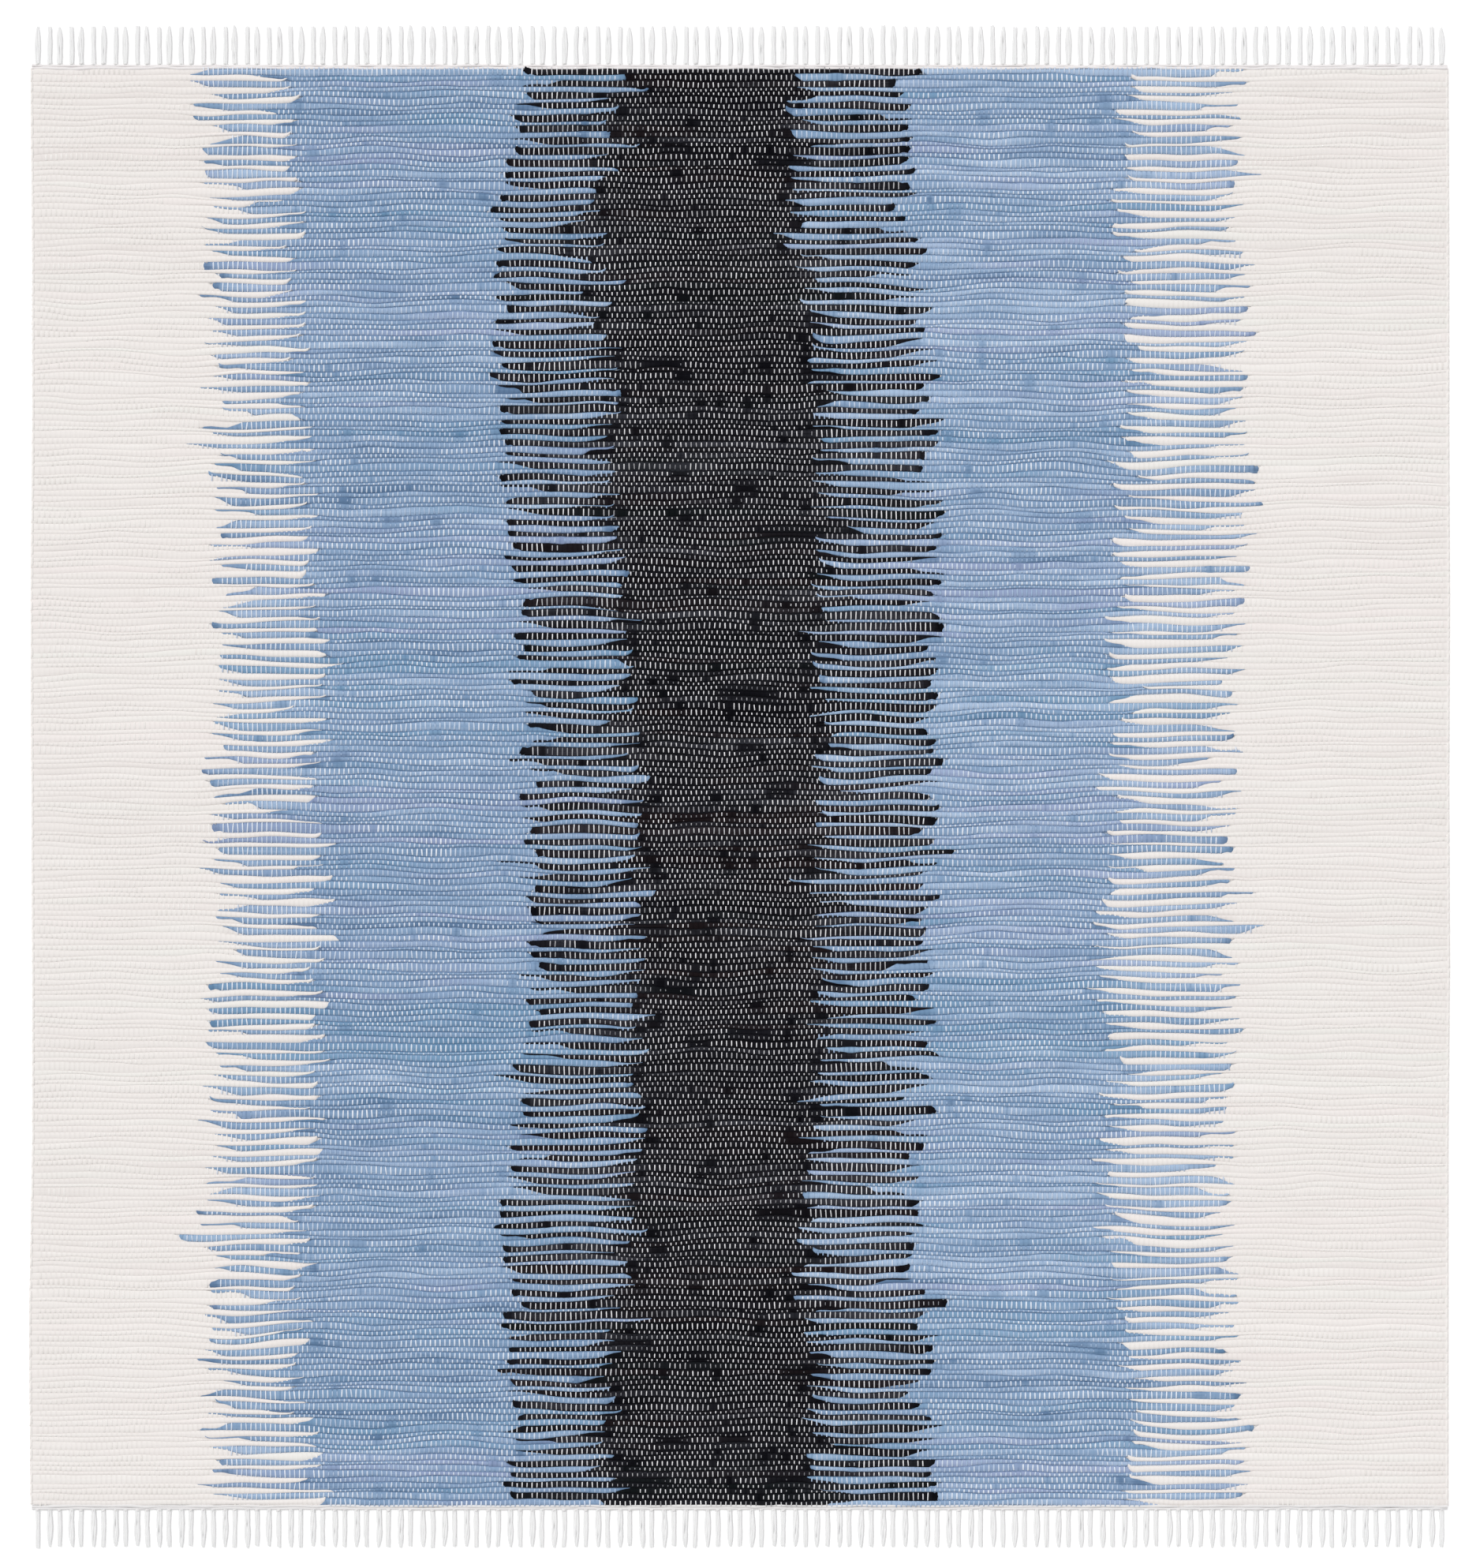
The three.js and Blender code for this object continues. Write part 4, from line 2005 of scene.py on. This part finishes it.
STRAIGHT = StrandShape(belly=0.0, narrowed=0.12, thinned=0.25)
BULGED = StrandShape(belly=1.8 * MM, narrowed=0.45, thinned=0.4)


@dataclass
class EndFinish:
    """One end of the rug: its heading, and the fringe tied from its warp ends."""

    plan: WeavePlan
    name: str
    outward: int
    strand_length: float
    band: YarnFinish
    tie: YarnFinish
    strands: int = 129
    margin: float = 9.5 * MM
    pair_shift: float = 0.8 * MM
    heading_gap: float = 0.3 * MM
    heading_depth: float = 6 * MM
    heading_inset: float = 1.5 * MM
    heading_step: float = 5 * MM
    heading_lift: float = 0.6 * MM
    heading_sides: int = 6
    cord_waver_length: float = 22 * MM
    cord_spread: float = 0.10
    cord_spread_length: float = 11 * MM
    strand_width: float = 6.8 * MM
    strand_lift: float = 0.4 * MM
    strand_sway: float = 0.5 * MM
    strand_length_spread: float = 0.6 * MM
    root_inside: float = 1.5 * MM
    tip_from: float = 0.8
    yarns: int = 4
    yarn_sides: int = 4
    yarn_radius: float = 1.75 * MM
    yarn_radii: Span = (0.92, 1.08)
    yarn_lift: float = 0.5 * MM
    yarn_length_spread: float = 0.5 * MM
    least_aside: float = 0.2 * MM
    twist_turns: float = 0.3
    twist_spread: Span = (0.7, 1.4)
    samples: int = 8
    knot_size: tuple[float, float, float] = (2.7 * MM, 1.7 * MM, 2.3 * MM)
    knot_out: float = 0.2 * MM
    knot_out_spread: float = 0.3 * MM
    knot_height: float = 2.8 * MM
    small_knot: float = 0.86
    knot_spread: float = 0.06
    knot_turn_spread: float = 0.2
    first_seed: int = 60
    strand_seed: int = 10
    knot_seed: int = 20

    def random(self, part: int = 0) -> np.random.Generator:
        """Start the jitter of one part of this end."""
        return np.random.default_rng(self.first_seed + self.outward + part)

    def at(self, out: np.ndarray | float) -> np.ndarray | float:
        """Y at a distance outside the cloth's end."""
        return self.outward * (self.plan.length / 2 + out)

    def heading_runs(self) -> list[dict[str, np.ndarray]]:
        """Lay out the heading's thin cords, with their waver.

        Returns:
            For each cord its places and its radius.
        """
        random = self.random()
        reach = self.plan.width / 2 - self.heading_inset
        x = np.arange(-reach, reach, self.heading_step)
        runs = []
        for cord in HEADING_CORDS:
            waver = cord.waver * ripple(random, 1, x, self.cord_waver_length)[0]
            noise = ripple(random, 1, x, self.cord_spread_length)[0]
            thick = cord.radius * (1 + self.cord_spread * noise)
            y = self.at(self.heading_gap + cord.out + waver)
            runs.append({"place": np.stack([x, y, thick + self.heading_lift], 1), "radius": thick})
        return runs

    def strand_places(self) -> np.ndarray:
        """Place the strands' roots, moved aside in pairs.

        Returns:
            X of each root.
        """
        pitch = (self.plan.width - 2 * self.margin) / (self.strands - 1)
        number = np.arange(self.strands)
        shift = np.where(number % 2, self.pair_shift, -self.pair_shift)
        return -self.plan.width / 2 + self.margin + number * pitch + shift

    def strand_runs(self) -> list[dict[str, np.ndarray]]:
        """Lay out the yarns of all strands.

        Returns:
            For each yarn its places and its radius.
        """
        random = self.random(self.strand_seed)
        root = self.heading_gap + self.heading_depth
        share = np.linspace(0, 1, self.samples)
        belly = np.sin(math.pi * share)
        tip = np.clip((share - self.tip_from) / (1 - self.tip_from), 0, 1)
        runs = []
        for number, x in enumerate(self.strand_places()):
            shape = BULGED if number % 2 == (self.outward < 0) else STRAIGHT
            width = (self.strand_width + shape.belly * belly) * (1 - shape.narrowed * tip)
            bend, lean = random.normal(0, self.strand_sway, 2)
            middle = x + bend * belly + lean * share**2
            length = self.strand_length + random.normal(0, self.strand_length_spread)
            phase = random.uniform(0, 2 * math.pi)
            turns = self.twist_turns * random.uniform(*self.twist_spread)
            for yarn in range(self.yarns):
                angle = 2 * math.pi * (yarn / self.yarns + turns * share) + phase
                radius = self.yarn_radius * (1 - shape.thinned * tip**2)
                radius = radius * random.uniform(*self.yarn_radii)
                aside = np.maximum(width / 2 - radius, self.least_aside) * np.cos(angle)
                up = radius + self.yarn_lift * (1 + np.sin(angle)) / 2 + self.strand_lift
                full = length + self.root_inside + random.normal(0, self.yarn_length_spread)
                y = self.at(root - self.root_inside + share * full)
                runs.append({"place": np.stack([middle + aside, y, up], 1), "radius": radius})
        return runs

    def knot_points(self) -> dict[str, np.ndarray]:
        """Place the knots at the strands' roots.

        Returns:
            Their places, sizes and turns.
        """
        random = self.random(self.knot_seed)
        x = self.strand_places()
        count = len(x)
        big = np.where(np.arange(count) % 2, self.small_knot, 1.0)
        big = big * random.normal(1, self.knot_spread, count)
        aside = random.normal(0, self.knot_out_spread, count)
        y = self.at(self.heading_gap + self.heading_depth + self.knot_out + aside)
        return {
            "place": np.stack([x, y, np.full(count, self.knot_height)], 1),
            "size": np.outer(big, self.knot_size),
            "turn": random.normal(0, self.knot_turn_spread, count),
        }

    def build(self, cords: CordSweep, knots: Scatter) -> list[bpy.types.Object]:
        """Make this end.

        Args:
            cords: The tree that sweeps the cords and yarns.
            knots: The tree that puts a knot on each point.

        Returns:
            The heading, the strands and the knots.
        """
        pieces = []
        for part, runs, sides, finish, nodes in (
            ("heading", self.heading_runs(), self.heading_sides, self.band, ()),
            ("strands", self.strand_runs(), self.yarn_sides, FRINGE_YARN, (f"{self.name}_fringe",)),
        ):
            name = f"{self.name}_{part}"
            material = material_of(finish)
            piece = cords.run(name, line_mesh(name, runs), Sides=sides, Material=material)
            pieces.append(report(piece, "warp_cotton", *nodes))
        name = f"{self.name}_knots"
        mesh = point_mesh(name, self.knot_points())
        ties = knots.run(name, mesh, Material=material_of(self.tie))
        return [*pieces, report(ties, "warp_cotton")]


@dataclass(frozen=True)
class FloorFinish:
    """A pale floor, which glows a little so that it stays near white all round the rug."""

    name: str = "pale floor"
    colour: Colour = linear(253, 253, 253)
    light: Colour = (1.0, 1.0, 1.0, 1.0)
    glow: float = 0.22
    roughness: float = 0.95

    def fill(self, graph: ShaderGraph) -> None:
        """Add the finish's nodes.

        Args:
            graph: Graph of the material.
        """
        graph.surface(
            Base_Color=self.colour,
            Roughness=self.roughness,
            Specular_IOR_Level=0.0,
            Emission_Color=self.light,
            Emission_Strength=self.glow,
        )


@dataclass
class Studio:
    """The floor, the lights and the camera, which looks straight down as in the photo."""

    frame_width: float = 1909 * MM
    frame_height: float = 2022 * MM
    frame_centre_y: float = 4 * MM
    lens: float = 120.0
    sensor: float = 36.0
    farthest_seen: float = 100.0
    floor_size: float = 12.0
    floor_height: float = -0.2 * MM
    sky: float = 0.62
    sky_colour: Colour = (1.0, 1.0, 1.0, 1.0)
    lamp_strength: float = 1.75
    lamp_spread: float = 45.0
    lamp_from: tuple[float, float, float] = (-0.45, 0.65, 1.0)

    def floor(self) -> None:
        """Lay the pale floor."""
        half = self.floor_size / 2
        around = ((-half, -half), (half, -half), (half, half), (-half, half))
        mesh = bpy.data.meshes.new("floor")
        mesh.from_pydata([(x, y, self.floor_height) for x, y in around], [], [(0, 1, 2, 3)])
        mesh.materials.append(material_of(FloorFinish()))
        put_in_scene("floor", mesh)

    def lights(self) -> None:
        """Light the room evenly, with one broad soft lamp."""
        scene = bpy.context.scene
        scene.world = bpy.data.worlds.new("room")
        scene.world.use_nodes = True
        graph = Graph(scene.world.node_tree)
        sockets = {"Color": self.sky_colour, "Strength": self.sky}
        graph.node("ShaderNodeOutputWorld", {"Surface": graph.value("ShaderNodeBackground", sockets)})
        lamp = bpy.data.lights.new("broad lamp", "SUN")
        lamp.energy = self.lamp_strength
        lamp.angle = math.radians(self.lamp_spread)
        holder = put_in_scene("broad lamp", lamp)
        holder.location = self.lamp_from
        aim = -holder.location
        holder.rotation_euler = aim.to_track_quat("-Z", "Y").to_euler()
        scene.view_settings.view_transform = "Standard"

    def camera(self) -> None:
        """Set the camera straight above the rug, framed as the photo is."""
        lens = bpy.data.cameras.new("camera")
        lens.lens = self.lens
        lens.sensor_width = self.sensor
        lens.sensor_fit = "AUTO"
        lens.clip_end = self.farthest_seen
        holder = put_in_scene("camera", lens)
        longest = max(self.frame_width, self.frame_height)
        holder.location = (0, self.frame_centre_y, longest * self.lens / self.sensor)
        bpy.context.scene.camera = holder

    def build(self) -> None:
        """Set up the whole studio."""
        self.floor()
        self.lights()
        self.camera()


def main() -> None:
    """Build the rug and the studio."""
    logging.basicConfig(level=logging.INFO, format="%(name)s: %(message)s")
    plan = WeavePlan()
    weft = RagWeft(plan)
    cords = CordSweep()
    knots = Scatter(SeedShape.KNOT)
    far = EndFinish(plan, "far", 1, 48.6 * MM, FAR_HEADING_YARN, KNOT_YARN)
    near = EndFinish(plan, "near", -1, 47.4 * MM, NEAR_HEADING_YARN, NEAR_HEADING_YARN)
    ground = GroundCloth(plan).build()
    on_it = [
        *weft.build(RagSweep()),
        *WarpFloats(plan, weft).build(),
        *Selvedges(plan).build(cords),
        *far.build(cords, knots),
        *near.build(cords, knots),
    ]
    Studio().build()


if __name__ == "__main__":
    main()
